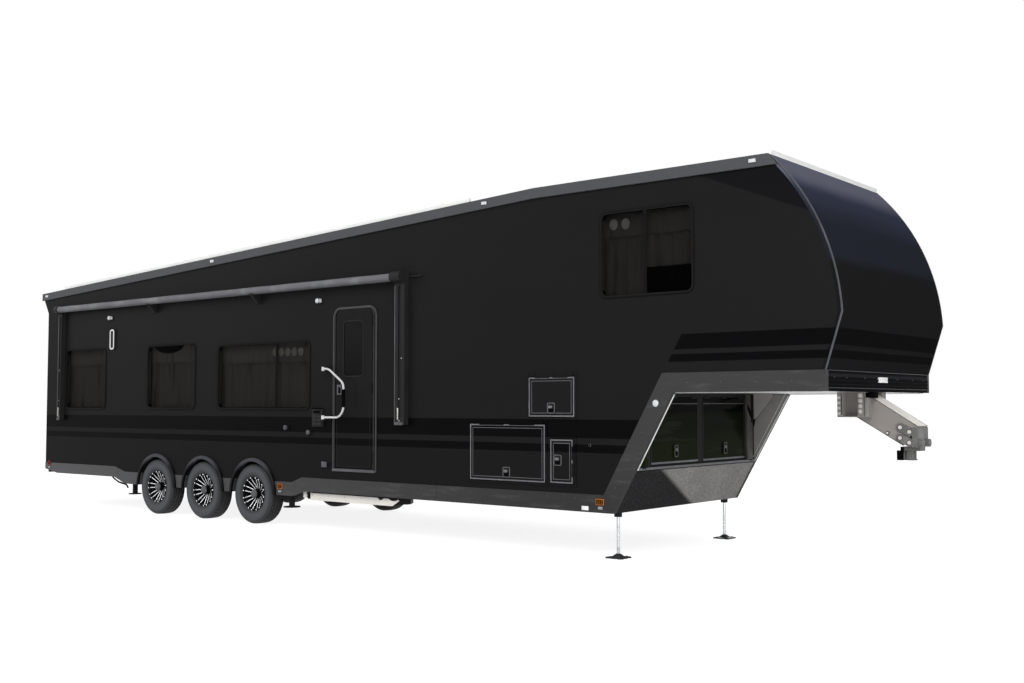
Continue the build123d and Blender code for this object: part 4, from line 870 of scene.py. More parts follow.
def makeTyre():
    # modelled once round the frame's zero, then copied to each hub
    half = tyre["profile"]
    whole = half + [(r, -d) for r, d in reversed(half)]
    master = turnedPiece("tyreMaster", "tyre", whole, (0, 0, 0), (0, 1, 0), tyre["steps"])
    low, high = tyre["lugRows"]

    def lug(face):
        x, y, z = face.center
        radius = math.hypot(x, z)
        sector = int((math.atan2(z, x) / (2 * math.pi) + 1) * tyre["steps"] + 0.25)
        return low < radius < high and 0.046 < abs(y) < 0.084 and sector % 4 == 0

    pickFaces(master, lug)
    bpy.ops.mesh.extrude_region_shrink_fatten(
        TRANSFORM_OT_shrink_fatten={"value": -tyre["lugDepth"]})
    closeEdit()
    return master


def makeSpokeLeg():
    # one leg along +X: bright on its raised outer face, dark on its sloping flanks
    leg = rim["leg"]
    outline = [(d, y, 0) for d, y in leg["face"]]
    outline += [(d, y + leg["back"], 0) for d, y in reversed(leg["face"])]
    half = leg["halfWidth"]
    piece = platePiece("spokeLeg", "rim", outline, (0, 0, -half), (0, 0, 2 * half))
    for corner in piece.data.vertices:
        if corner.co.y < -0.012 - corner.co.x * 0.478:
            corner.co.z *= 0.62
    piece.data.materials.append(finish["bright"])
    rounded(piece, 0.0012, 1)
    for face in piece.data.polygons:
        face.material_index = 1 if face.normal.y < -0.5 else 0
    return piece


def makeRim():
    # right-hand wheel: the outer face looks along -Y
    parts = [turnedPiece("rimMaster", "rim", rim["barrel"], (0, 0, 0), (0, 1, 0), 72),
             turnedPiece("hubBarrel", "rim", rim["hub"], (0, 0, 0), (0, 1, 0), 36),
             turnedPiece("hubCap", "hub", rim["cap"], (0, 0, 0), (0, 1, 0), 36),
             turnedPiece("brakeDrum", "black", rim["drum"], (0, 0, 0), (0, 1, 0), 48)]
    leg = rim["leg"]
    spoke = makeSpokeLeg()
    studs = rim["stud"]
    ring, start = studs["ring"], studs["start"]
    stud = rodPiece("stud", "bright", (ring, start, 0), (ring, start - studs["height"], 0),
                    studs["radius"], 0.003, 12)
    for n in range(rim["forks"]):
        for way in (-1, 1):
            turn = (Matrix.Rotation(2 * math.pi * n / rim["forks"], 4, "Y")
                    @ Matrix.Translation((leg["root"], 0, way * leg["spread"]))
                    @ Matrix.Rotation(-way * leg["lean"], 4, "Y"))
            parts.append(copied(spoke, "legCopy", turn=turn))
            angle = 2 * math.pi * n / rim["forks"] - way * studs["angle"]
            parts.append(copied(stud, "studCopy", turn=aboutY((0, 0, 0), angle)))
    nuts = rim["nuts"]
    nut = rodPiece("nut", "rim", (nuts["ring"], -0.019, 0),
                   (nuts["ring"], -0.019 - nuts["height"], 0), nuts["radius"], 0.001, 6)
    for n in range(nuts["count"]):
        turn = aboutY((0, 0, 0), 2 * math.pi * (n + 0.5) / nuts["count"])
        parts.append(copied(nut, "nutCopy", turn=turn))
    for used in (spoke, stud, nut):
        bpy.data.objects.remove(used)
    return joined("rimMaster", parts)


def makeWheels():
    tyreMaster = makeTyre()
    rimMaster = makeRim()
    for side in ("right", "left"):
        for n in (1, 2, 3):
            label = side + "_" + str(n)
            low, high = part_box("tyre_" + label)
            hub = (low + high) / 2
            flip = side == "left"
            body = "wheel_" + label
            turn = aboutY((0, 0, 0), rim["phase"][label])
            ridden(copied(tyreMaster, "tyreTread_" + label, hub, flip), body,
                   ["tyre_" + label])
            ridden(copied(rimMaster, "spokedRim_" + label, hub, flip, turn), body,
                   ["rim_" + label])
    bpy.data.objects.remove(tyreMaster)
    bpy.data.objects.remove(rimMaster)


makeWheels()
print("wheels made")


# Curtains: gathered cloth behind each pane on a rail, with a valance over it
curtain = {
    "windows": {"lounge": (0.585, 1.660, 1.512, 2.395, ((-0.11, 0.97),)),
                "galley": (2.780, 3.885, 1.512, 2.385, ((-0.11, 0.48), (0.485, 0.98))),
                "dinette": (4.425, 6.262, 1.512, 2.340, ((-0.07, 0.640), (0.645, 0.99))),
                "bedroom": (10.718, 11.762, 2.650, 3.480, ((-0.11, 0.43), (0.435, 0.98)))},
    "line": halfWidth - 0.050 - 0.050,
    "fold": 0.020,
    "foldPitch": 0.150,
    "shortFoot": {("bedroom", 1): 0.26},
    "columns": 140,
    "rows": 18,
    "hem": 0.01,
    "head": 0.038,
    "rail": (0.14, 0.04, 0.048, 0.008),
    "valance": {"drop": 0.235, "rise": 0.04, "reach": (0.11, -0.01), "rows": 6, "pitch": 0.125,
                "forward": 0.022, "fold": 0.008},
    "pleats": {"dinette": ((5.522, 2.236), (5.647, 2.234), (5.772, 2.232), (5.900, 2.230),
                           (6.025, 2.228)),
               "bedroom": ((10.817, 3.380), (10.963, 3.374))},
    "pleatSize": (0.052, 0.058),
    "pleat": ((0, -0.016), (0.55, -0.013), (0.9, -0.006), (1, 0), (0, 0.001)),
    "openPane": (11.165, 11.762, 2.655, 2.925),
    "scallop": (2.833, 3.537, 2.385, 2.285),
}


def clothPiece(name, look, side, x0, x1, z0, z1, seed, rows, pitch, fold, forward=0.0):
    # a flat cloth panel with sine folds that shift and open towards the hem
    draw = random.Random(seed)
    nothingSelected()
    bpy.ops.mesh.primitive_grid_add(x_subdivisions=curtain["columns"], y_subdivisions=rows, size=1)
    piece = bpy.context.object
    width, drop = x1 - x0, z1 - z0
    folds = width / pitch
    phases = [draw.uniform(0, 6.28) for _ in range(4)]
    for point in piece.data.vertices:
        u, v = point.co.x + 0.5, 0.5 - point.co.y
        lean = 0.018 * math.sin(2.1 * u * 6.28 + phases[1]) * v
        swell = 0.75 + 0.25 * math.sin(3.3 * u * 6.28 + phases[2])
        depth = fold * swell * (0.7 + 0.3 * v)
        wave = math.sin(u * folds * 6.28 + phases[0] + 0.5 * math.sin(3 * v + phases[3]))
        wave += 0.3 * math.sin(u * folds * 12.9 + phases[2] + 2.2 * v)
        point.co = (at(x0 + u * width) + lean,
                    side * (curtain["line"] + forward + depth * wave * 0.8), z1 - v * drop)
    named(piece, name, look)
    only(piece)
    bpy.ops.object.shade_smooth()
    ridden(piece, "trailer")
    # its real cut width is the length of one row of the folded cloth
    return piece


def makeCurtains():
    first = None
    band = curtain["valance"]
    behind, ahead, lift, thick = curtain["rail"]
    for number, (window, (x0, x1, z0, z1, parts)) in enumerate(curtain["windows"].items()):
        dim = window == "bedroom"
        for name, side in (("right", -1), ("left", 1)):
            seed = number * 10 + (5 if side > 0 else 0)
            label = window + "_" + name
            for n, (a, b) in enumerate(parts):
                foot = z0 + curtain["hem"] + curtain["shortFoot"].get((window, n), 0.0)
                piece = clothPiece("curtain_" + label + "_" + str(n + 1),
                                   "dimCurtain" if dim else "curtain", side,
                                   x0 + (x1 - x0) * a, x0 + (x1 - x0) * b, foot,
                                   z1 + curtain["head"], seed + n, curtain["rows"],
                                   curtain["foldPitch"], curtain["fold"])
                first = first or piece
            clothPiece("valance_" + label, "dimCurtain" if dim else "valance", side,
                       x0 - band["reach"][0], x1 + band["reach"][1], z1 - band["drop"],
                       z1 + band["rise"], seed + 3, band["rows"], band["pitch"], band["fold"],
                       band["forward"])
            y, z = side * curtain["line"], z1 + lift
            rail = rodPiece("curtainRail_" + label, "bare", (at(x0 - behind), y, z),
                            (at(x1 + ahead), y, z), thick, 0.001, 16)
            ridden(rail, "trailer")
    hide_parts("curtains")
    # real gathered pleats on the valance, their pale tone a painted highlight
    wide, tall = curtain["pleatSize"]
    y = -(curtain["line"] + band["forward"] + 0.012)
    for window, places in curtain["pleats"].items():
        tufts = []
        for x, z in places:
            tuft = turnedPiece("tuft", "pleat", curtain["pleat"], (0, 0, 0), (0, 1, 0), 20)
            tuft.data.transform(Matrix.Translation((at(x), y, z))
                                @ Matrix.Diagonal((wide, 1, tall, 1)))
            tufts.append(tuft)
        ridden(joined("pleats_" + window, tufts), "trailer")
    # painted shade: a black plate in the scalloped gap over the galley valance
    x0, x1, top, low = curtain["scallop"]
    arc = [(x0 + (x1 - x0) * n / 12, top - (top - low) * math.sin(math.pi * n / 12) ** 0.6)
           for n in range(13)]
    shade = sidePlate("valanceScallop", "black", arc + [(x1, top + 0.01), (x0, top + 0.01)],
                      -(curtain["line"] + 0.030), -0.003)
    ridden(shade, "trailer")
    # painted shade: a black sheet behind the lower front bedroom pane stands for the dark room
    x0, x1, low, top = curtain["openPane"]
    dark = blockPiece("openPaneDark", "black", (at(x0), -(curtain["line"] - 0.030), low),
                      (at(x1), -(curtain["line"] - 0.033), top), 0.0008)
    ridden(dark, "trailer")


makeCurtains()
print("curtains hung")


# Trims and latches of the hatches
hatch = {
    "places": {"hatch_upper_right": (0.5, 0.092), "hatch_large_right": (0.5, 0.092),
               "hatch_narrow_right": (0.34, 0.238), "hatch_large_left": (0.5, 0.092)},
    "latch": (0.108, 0.120, 0.016),
    "trims": ((0.001, 0.015, 0.003, "hatchTrim"), (0.036, 0.008, 0.0015, "edgeTrim")),
    "hingeRoom": 0.0225,
    "face": 0.006,
}


def latchPiece(name, x, y, z, side, wide=None, tall=None):
    # recessed paddle latch: rounded plate, raised rim, dark cup, bright paddle and lock,
    # placed in shares of its width and height
    full = hatch["latch"]
    wide, tall, proud = wide or full[0], tall or full[1], full[2]

    def part(label, look, left, right, low, high, start, end, edge):
        return blockPiece(label, look, (x + wide * left, y + side * start, z + tall * low),
                          (x + wide * right, y + side * end, z + tall * high), edge)

    plate = part(name, "darkTrim", -0.5, 0.5, -0.5, 0.5, 0, 0.005, 0.0022)
    rimRing = ringPiece("latchRim", "latch", x - wide * 0.46, x + wide * 0.46, z - tall * 0.46,
                        z + tall * 0.46, y + side * 0.004, side * 0.004, wide * 0.06, wide * 0.14)
    cup = part("latchCup", "black", -0.28, 0.28, -0.36, -0.02, 0.004, 0.007, 0.001)
    paddle = part("latchPaddle", "latch", -0.30, 0.16, -0.02, 0.22, 0.004, proud, 0.004)
    barrel = rodPiece("latchLock", "darkTrim", (x + wide * 0.1, y + side * 0.004, z + tall * 0.33),
                      (x + wide * 0.1, y + side * 0.012, z + tall * 0.33), 0.007, 0.001, 16)
    return joined(name, [plate, rimRing, cup, paddle, barrel])


def dressHatches():
    for node, (share, rise) in hatch["places"].items():
        low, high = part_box(node)
        side = -1 if "right" in node else 1
        narrow = "narrow" in node
        room = hatch["hingeRoom"]
        x0, x1 = low.x, high.x - (room if narrow else 0)
        z0, z1 = low.z, high.z - (0 if narrow else room)
        face = side * (halfWidth + hatch["face"])
        rings = [ringPiece("hatchTrim_" + node, look, x0 + inset, x1 - inset, z0 + inset,
                           z1 - inset, face, side * height, width)
                 for inset, width, height, look in hatch["trims"]]
        ridden(joined("hatchTrim_" + node, rings), node)
        x = x0 + (x1 - x0) * share
        ridden(latchPiece("latch_" + node, x, face, z0 + rise, side), node)


dressHatches()
print("hatches dressed")


# Entry door: double trim round the frame, sill, window seal, latch, and the ribbed grab handle
door = {
    "leaf": (6.7704, 7.3954, 0.790, 2.716),
    "rings": (("doorFrameTrim", 0.058, 0.080, 0.042, 0.028, 0.0, 0.013, 0.020, 0.125),
              ("doorInnerTrim", 0.030, 0.036, 0.020, 0.010, 0.010, 0.003, 0.009, 0.10)),
    "leafTrim": (0.010, 0.006, 0.080),
    "window": (6.9054, 7.2354, 1.905, 2.560),
    "latch": (6.826, 1.735),
    "sill": (6.712, 7.455, 0.742, 0.772),
    "grip": (7.0004, -1.395, 1.520, 1.740, 0.0205),
    "gripRibs": 14,
    "handle": ((6.6354, 1.398), (6.915, 1.398), (7.0004, 1.478), (7.0004, 1.810), (6.7304, 1.992),
               (6.6354, 1.992)),
    "handleBar": (0.013, 3.6),
    "handleSocket": (0.020, 0.025),
}


def dressDoor():
    x0, x1, z0, z1 = [c - middle if n < 2 else c for n, c in enumerate(door["leaf"])]
    for name, rear, front, foot, head, out, depth, width, corner in door["rings"]:
        ring = ringPiece(name, "doorTrim", x0 - rear, x1 + front, z0 - foot, z1 + head,
                         -halfWidth - out, -depth, width, corner, 0.0015, True)
        ridden(ring, "trailer")
    inset, width, corner = door["leafTrim"]
    face = -halfWidth - 0.006
    leaf = ringPiece("doorLeafTrim", "darkTrim", x0 + inset, x1 - 0.030, z0 + inset, z1 - inset,
                     face, -0.002, width, corner, 0.001, True)
    ridden(leaf, "door")
    s0, s1, t0, t1 = door["sill"]
    sill = stationBlock("doorSill", "edgeTrim", (s0, s1), (-halfWidth - 0.010, -halfWidth - 0.016),
                        (t0, t1), 0.003)
    ridden(sill, "trailer")
    w0, w1, v0, v1 = door["window"]
    seal = ringPiece("doorWindowTrim", "darkTrim", at(w0) - 0.018, at(w1) + 0.018, v0 - 0.018,
                     v1 + 0.018, face, -0.005, 0.018, 0.06, 0.002)
    ridden(seal, "door")
    x, z = door["latch"]
    plate = blockPiece("doorLatch", "edgeTrim", (at(x) - 0.040, face - 0.005, z - 0.062),
                       (at(x) + 0.040, face, z + 0.062), 0.003)
    pull = blockPiece("doorPull", "black", (at(x) - 0.008, face - 0.014, z - 0.042),
                      (at(x) + 0.026, face - 0.004, z + 0.030), 0.004)
    lock = rodPiece("doorLock", "edgeTrim", (at(x) - 0.022, face - 0.004, z + 0.036),
                    (at(x) - 0.022, face - 0.011, z + 0.036), 0.010, 0.0015, 20)
    ridden(joined("doorLatch", [plate, pull, lock]), "door")
    x, y, g0, g1, radius = door["grip"]
    ribs = [(0.0, g0)]
    step = (g1 - g0) / door["gripRibs"]
    for n in range(door["gripRibs"]):
        z = g0 + step * n
        ribs += [(radius, z + step * 0.1), (radius, z + step * 0.7),
                 (radius * 0.93, z + step * 0.85)]
    ribs.append((0.0, g1))
    grip = turnedPiece("handleGrip", "black", ribs, (at(x), y, 0), (0, 0, 1), 20)
    ridden(grip, "handle")
    thick, ease = door["handleBar"]
    route = [(at(x), y, z) for x, z in door["handle"]]
    parts = [pipePiece("grabHandle", "handle", route, thick, ease)]
    thick, half = door["handleSocket"]
    for x, y, z in (route[0], route[-1]):
        parts.append(rodPiece("handleSocket", "handle", (x, y, z - half), (x, y, z + half),
                              thick, 0.003))
    ridden(joined("grabHandle", parts), "handle", ["grab_handle"])


dressDoor()
print("door dressed")


# Bay under the gooseneck: door trims and latches, pale wing linings, bright edges
bay = {
    "face": 11.080,
    "doors": {"right": (-0.967, -0.033), "left": (0.083, 1.022)},
    "heights": (0.943, 1.617),
    "trimDepth": 0.004,
    "edge": 0.009,
    "latch": (0.078, 0.132, 0.012, 0.127),
    "ledge": ((11.100, 11.107), (-1.243, 1.243), (0.897, 0.921)),
    "slope": ((11.082, 0.885), (11.530, 1.670)),
    "lining": ((11.088, 0.911), (11.100, 0.911), (11.522, 1.664), (11.088, 1.664)),
    "beads": ((-0.006, 0.0065), (0.034, 0.004)),
    "neckStrip": ((11.540, 13.055), (-1.252, -1.246), (1.662, 1.6695)),
    "brace": ((1.048, 1.493), (1.195, 1.303), (1.243, 1.428), (1.238, 1.655), (1.216, 1.655),
              (1.218, 1.400), (1.190, 1.372), (1.048, 1.560)),
    "post": ((11.082, 11.113), (1.046, 1.172), (0.924, 1.664)),
}


def dressBay():
    face = at(bay["face"])
    front = face + bay["trimDepth"]
    slim = bay["edge"]
    z0, z1 = bay["heights"]
    wide, tall, out, rise = bay["latch"]
    for side, (y0, y1) in bay["doors"].items():
        body = "bay_" + side
        edges = [blockPiece("bayFoot_" + side, "hatchTrim", (face, y0, z0), (front, y1, z0 + 0.022),
                            0.0015)]
        for y in (y0, y1 - slim):
            edges.append(blockPiece("bayEdge", "key", (face, y, z0 + 0.022),
                                    (front, y + slim, z1 - 0.004), 0.0015))
        edges.append(blockPiece("bayHead", "edgeTrim", (face, y0 + slim, z1 - 0.060),
                                (front, y1 - slim, z1 - 0.052), 0.0015))
        ridden(joined("bayTrim_" + side, edges), body)
        latch = latchPiece("bayLatch_" + side, 0, 0, 0, -1, wide, tall)
        latch.data.transform(Matrix.Translation((face + out, (y0 + y1) / 2, z0 + rise))
                             @ Matrix.Rotation(math.pi / 2, 4, "Z"))
        ridden(latch, body)
    ridden(stationBlock("bayLedge", "latch", *bay["ledge"], 0.002), "trailer")
    post = stationBlock("bayPostFace", "post", *bay["post"], 0.002)
    near = named(copied(post, "bayPostFaceRight", flip=True), "bayPostFaceRight", "bay")
    ridden(near, "trailer")
    ridden(post, "trailer")
    lining = sidePlate("wingLining", "lining", bay["lining"], -1.2448, 0.003, 0.0008)
    bothSides(lining, "trailer")
    (x0, h0), (x1, h1) = bay["slope"]
    low, high = Vector((at(x0), -1.2435, h0)), Vector((at(x1), -1.2435, h1))
    lean = (high - low).normalized()
    back = Vector((-lean.z, 0, lean.x))
    for n, (off, radius) in enumerate(bay["beads"]):
        bead = rodPiece("wingBead_" + str(n), "white", low + back * off + lean * 0.02,
                        high + back * off - lean * 0.02, radius, 0.001, 10)
        bothSides(bead, "trailer")
    brace = platePiece("bayBrace", "black", [(0, -y, z) for y, z in bay["brace"]],
                       (face + 0.034, 0, 0), (0.006, 0, 0), 0.001, 1)
    bothSides(brace, "trailer")
    strip = stationBlock("neckEdgeStrip", "white", *bay["neckStrip"], 0.001)
    bothSides(strip, "trailer")


dressBay()
print("bay dressed")


# Nose: trims along both edges, pale with a painted highlight; screws, beads and a blank plate on
# the ribbed band
nose = {
    "top": (12.580, 3.860),
    "bulge": (13.065, 3.1795),
    "knuckle": (13.265, 2.371),
    "foot": (13.104, 1.860),
    "trimWidth": 0.011,
    "bandFace": 13.103,
    "screws": (-1.12, -0.848, -0.426, 0.0, 0.397, 0.821, 1.12),
    "plate": (-0.105, 0.105, 1.760, 1.812),
    "beads": (1.700, 1.8555),
}


def arcPoints(a, b, c, count):
    # points on the circle through three points of a plane
    ax, az, bx, bz, cx, cz = *a, *b, *c
    d = 2 * (ax * (bz - cz) + bx * (cz - az) + cx * (az - bz))
    ux = ((ax * ax + az * az) * (bz - cz) + (bx * bx + bz * bz) * (cz - az)
          + (cx * cx + cz * cz) * (az - bz)) / d
    uz = ((ax * ax + az * az) * (cx - bx) + (bx * bx + bz * bz) * (ax - cx)
          + (cx * cx + cz * cz) * (bx - ax)) / d
    radius = math.hypot(ax - ux, az - uz)
    first = math.atan2(az - uz, ax - ux)
    last = math.atan2(cz - uz, cx - ux)
    return [(ux + radius * math.cos(first + (last - first) * n / count),
             uz + radius * math.sin(first + (last - first) * n / count)) for n in range(count + 1)]


def dressNose():
    outer = arcPoints(nose["top"], nose["bulge"], nose["knuckle"], 22) + [nose["foot"]]
    width = nose["trimWidth"]
    inner = []
    for n, (x, z) in enumerate(outer):
        a = outer[max(n - 1, 0)]
        b = outer[min(n + 1, len(outer) - 1)]
        run = math.hypot(b[0] - a[0], b[1] - a[1])
        inner.append((x + (b[1] - a[1]) / run * width, z - (b[0] - a[0]) / run * width))
    # real trim strip and bead along each nose edge, painted with a pale bluish highlight
    strip = sidePlate("noseEdgeTrim", "noseEdgeHighlight", outer + inner[::-1], -halfWidth, -0.004, 0.001)
    bothSides(strip, "trailer")
    lip = [(x + (x - i) * 0.12, z + (z - k) * 0.12) for (x, z), (i, k) in zip(outer, inner)]
    bead = sidePlate("noseEdgeBead", "noseEdgeHighlight", lip + outer[::-1], -halfWidth - 0.003, 0.015,
                     0.0006)
    bothSides(bead, "trailer")
    face = nose["bandFace"]
    screws = headRow("bandScrews", "edgeTrim", [(at(face), y, 1.795) for y in nose["screws"]],
                     (1, 0, 0), 0.007, 0.004)
    ridden(screws, "trailer")
    y0, y1, z0, z1 = nose["plate"]
    plate = stationBlock("blankPlate", "white", (face, face + 0.018), (y0, y1), (z0, z1), 0.002)
    places = [(at(face + 0.017), y, (z0 + z1) / 2) for y in (y0 + 0.012, y1 - 0.012)]
    pins = headRow("platePins", "edgeTrim", places, (1, 0, 0), 0.004, 0.002)
    ridden(joined("blankPlate", [plate, pins]), "trailer")
    beads = [stationBlock("bandBead", "edgeTrim", (face - 0.003, face + 0.004), (-1.243, 1.243),
                          (z, z + 0.004), 0.001) for z in nose["beads"]]
    ridden(joined("bandBeads", beads), "trailer")


dressNose()
print("nose dressed")


# Awning: rolled cloth with its end caps, arms with flutes drawn as painted shade lines and a
# painted highlight down one edge, castings and a slot
awning = {
    "tube": (0.520, 7.830, -1.407, 3.040),
    "rollEnd": ((0.044, 0.0), (0.0492, 0.004), (0.0492, 0.022), (0.0440, 0.026)),
    "rollTurns": 24,
    "cap": ((0.0, -0.003), (0.050, -0.002), (0.057, 0.004), (0.057, 0.016), (0.0, 0.018)),
    "arms": {"rear": (0.430, 0.520, 0.428), "front": (7.830, 7.990, 7.977)},
    "flutes": (0.32, 0.62, 0.86),
    "outer": -1.365,
    "foot": 1.320,
}


def dressAwning():
    x0, x1, y, z = awning["tube"]
    length, turns, end = x1 - x0, awning["rollTurns"], awning["rollEnd"]
    roll = [(0.0, 0.0), *end]
    roll += [(0.0440 + 0.0016 * math.sin(n * 2.1), length * n / turns) for n in range(1, turns)]
    roll += [(r, length - d) for r, d in reversed(end)] + [(0.0, length)]
    tube = turnedPiece("awningRoll", "tube", roll, (at(x0), y, z), (1, 0, 0), 32)
    ridden(tube, "trailer", ["awning_tube"])
    lead = stationBlock("awningLead", "edgeTrim", (x0 + 0.03, x1 - 0.03), (y - 0.012, y + 0.010),
                        (z - 0.0498, z - 0.042), 0.002)
    ridden(lead, "trailer")
    out, foot = awning["outer"], awning["foot"]
    for label, (a, b, capStart) in awning["arms"].items():
        mid = a + (b - a) * 0.36
        # painted highlight: a pale strip down the arm's rear edge
        rows = [("awningArmTrim_" + label, "edgeTrim", a + 0.001, a + 0.012, 0.003, foot, z - 0.10,
                 0.001)]
        # painted shade: thin dark lines in the flutes
        for share in awning["flutes"]:
            x = a + (b - a) * share
            rows.append(("flute", "darkTrim", x, x + 0.004, 0.0025, foot + 0.09, z - 0.14, 0.0008))
        rows += [("armFoot", "edgeTrim", a + 0.004, b - 0.020, 0.006, foot - 0.004, foot + 0.030,
                  0.002),
                 ("armSlot", "bolt", mid - 0.009, mid + 0.009, 0.004, foot + 0.060, foot + 0.194,
                  0.002)]
        parts = [stationBlock(name, look, (rear, front), (out - proud, out), (low, high), edge)
                 for name, look, rear, front, proud, low, high, edge in rows]
        screws = [(at(b) - 0.045, out, z - 0.95), (at(mid) + 0.020, out, foot + 0.30),
                  (at(mid) + 0.022, out, foot + 0.045)]
        parts.append(headRow("armScrews", "bolt", screws, (0, -1, 0), 0.007, 0.003))
        parts.append(turnedPiece("headCap", "bracket", awning["cap"], (at(capStart), y, z),
                                 (1, 0, 0), 28))
        ridden(joined("awningArmTrim_" + label, parts), "trailer")


dressAwning()
print("awning dressed")


# Fixtures on the right wall
fixtures = {
    "lights": ((1.787, 2.853), (6.4434, 2.847)),
    "slot": (1.860, 2.528, 0.112, 0.300),
    "outlet": (6.4414, 1.400, 0.190, 0.232),
    "bumps": ((5.841, 1.264), (6.276, 1.207)),
    "step": (6.596, 0.818),
    "button": (10.558, 1.139),
    "vent": (9.812, 9.959, 1.377),
    "slopeLamp": (11.349, 1.564),
    "plate": (10.457, 10.540, 0.480, 0.522),
}


def domeLamp(name, look, x, y, z, radius, height):
    # ring and domed lens standing out along -Y
    collar = [(0, 0.001), (radius * 1.18, 0.001), (radius * 1.18, -0.006),
              (radius * 1.05, -0.008), (0, -0.008)]
    dome = [(radius, -0.007), (radius * 0.92, -height * 0.6), (radius * 0.6, -height * 0.9),
            (0, -height), (0, -0.007)]
    return joined(name, [turnedPiece(name, "edgeTrim", collar, (x, y, z), (0, 1, 0), 28),
                         turnedPiece("lens", look, dome, (x, y, z), (0, 1, 0), 28)])


def dressWall():
    wall = -halfWidth
    for n, (x, z) in enumerate(fixtures["lights"]):
        ridden(domeLamp("wallLight_" + str(n), "clear", at(x), wall - 0.0301, z, 0.030, 0.022),
               "trailer")
        shell = stationBlock("wallLightBody_" + str(n), "white", around(x, 0.094),
                             (wall, wall - 0.032), around(z, 0.054), 0.010, 3)
        ridden(shell, "trailer")
    x, z, wide, tall = fixtures["slot"]
    face = wall - 0.0215
    ring = ringPiece("slotRing", "white", *around(at(x), wide), *around(z, tall), face, -0.006,
                     0.020, 0.045, 0.002)
    slot = stationBlock("slotInset", "bracket", (x - 0.004, x + 0.034), (face, wall - 0.026),
                        (z - tall * 0.38, z + tall * 0.36), 0.003)
    ridden(joined("slotRing", [ring, slot]), "trailer")
    dressOutlet(wall - 0.018)
    for n, (x, z) in enumerate(fixtures["bumps"]):
        bump = domeLamp("wallCap_" + str(n), "edgeTrim", at(x), wall - 0.0238, z, 0.026, 0.018)
        ridden(bump, "trailer")
    x, z = fixtures["step"]
    face = wall - 0.0195
    hood = stationBlock("stepLight", "edgeTrim", (x - 0.066, x + 0.030), (face, wall - 0.026),
                        around(z, 0.068), 0.004)
    eyelid = stationBlock("stepLens", "black", (x + 0.030, x + 0.064), (face, wall - 0.023),
                          around(z, 0.060), 0.003)
    ridden(joined("stepLight", [hood, eyelid]), "trailer")
    x, z = fixtures["button"]
    ridden(domeLamp("wallButton", "black", at(x), wall, z, 0.013, 0.012), "trailer")
    a, b, z = fixtures["vent"]
    vent = stationBlock("slimVent", "edgeTrim", (a, b), (wall, wall - 0.004), around(z, 0.010),
                        0.0015)
    ridden(vent, "trailer")
    x, z = fixtures["slopeLamp"]
    ridden(domeLamp("slopeLamp", "clear", at(x), wall - 0.006, z, 0.034, 0.016), "trailer")
    a, b, z0, z1 = fixtures["plate"]
    plate = stationBlock("skirtPlate", "white", (a, b), (wall - 0.006, wall - 0.010), (z0, z1),
                         0.001)
    ridden(plate, "trailer")


def dressOutlet(face):
    # panel under a hood, with a dark window and three rows of keys; sizes are shares of it
    x, z, wide, tall = fixtures["outlet"]
    rows = [("outletPanel", "darkTrim", -0.5, 0.5, -0.5, 0.5, 0.0, 0.003, 0.0015),
            ("outletHood", "black", -0.5, 0.5, 0.43, 0.5, 0.003, 0.014, 0.002),
            ("outletWindow", "black", -0.38, 0.30, 0.20, 0.34, 0.003, 0.005, 0.001)]
    for high in (0.08, -0.11, -0.30):
        for rear, front in ((-0.38, -0.04), (0.04, 0.38)):
            rows.append(("outletKey", "key", rear, front, high - 0.12, high, 0.003, 0.006, 0.001))
    parts = [stationBlock(name, look, (x + wide * rear, x + wide * front),
                          (face - start, face - end), (z + tall * low, z + tall * high), edge)
             for name, look, rear, front, low, high, start, end, edge in rows]
    ridden(joined("outletPanel", parts), "trailer")


dressWall()
print("wall dressed")


# Lamps on the skirts, the fascia and the tail: lens, base and screws over each CAD block
lamps = {
    "skirt": {"red": ((0.130, 0.640, 0.070, 0.060),),
              "amber": ((5.7354, 0.515, 0.095, 0.060), (10.685, 0.572, 0.095, 0.060)),
              "clear": ((0.130, 0.572, 0.040, 0.024), (5.7354, 0.450, 0.050, 0.024),
                        (10.690, 0.512, 0.050, 0.024))},
    "marker": (-0.010, 4.2818, 9.1663, 12.427),
    "tail": (1.1825, 1.180),
    "tailLenses": (("red", 0.0, 0.105), ("clear", 0.108, 0.135), ("amber", 0.138, 0.170)),
}
roof = {"height": 3.860, "knee": 9.850, "fall": 0.522}


def roofEdge(station):
    # level ahead of the knee, falling from it to the rear wall
    return roof["height"] - max(0.0, roof["knee"] - station) * roof["fall"] / roof["knee"]


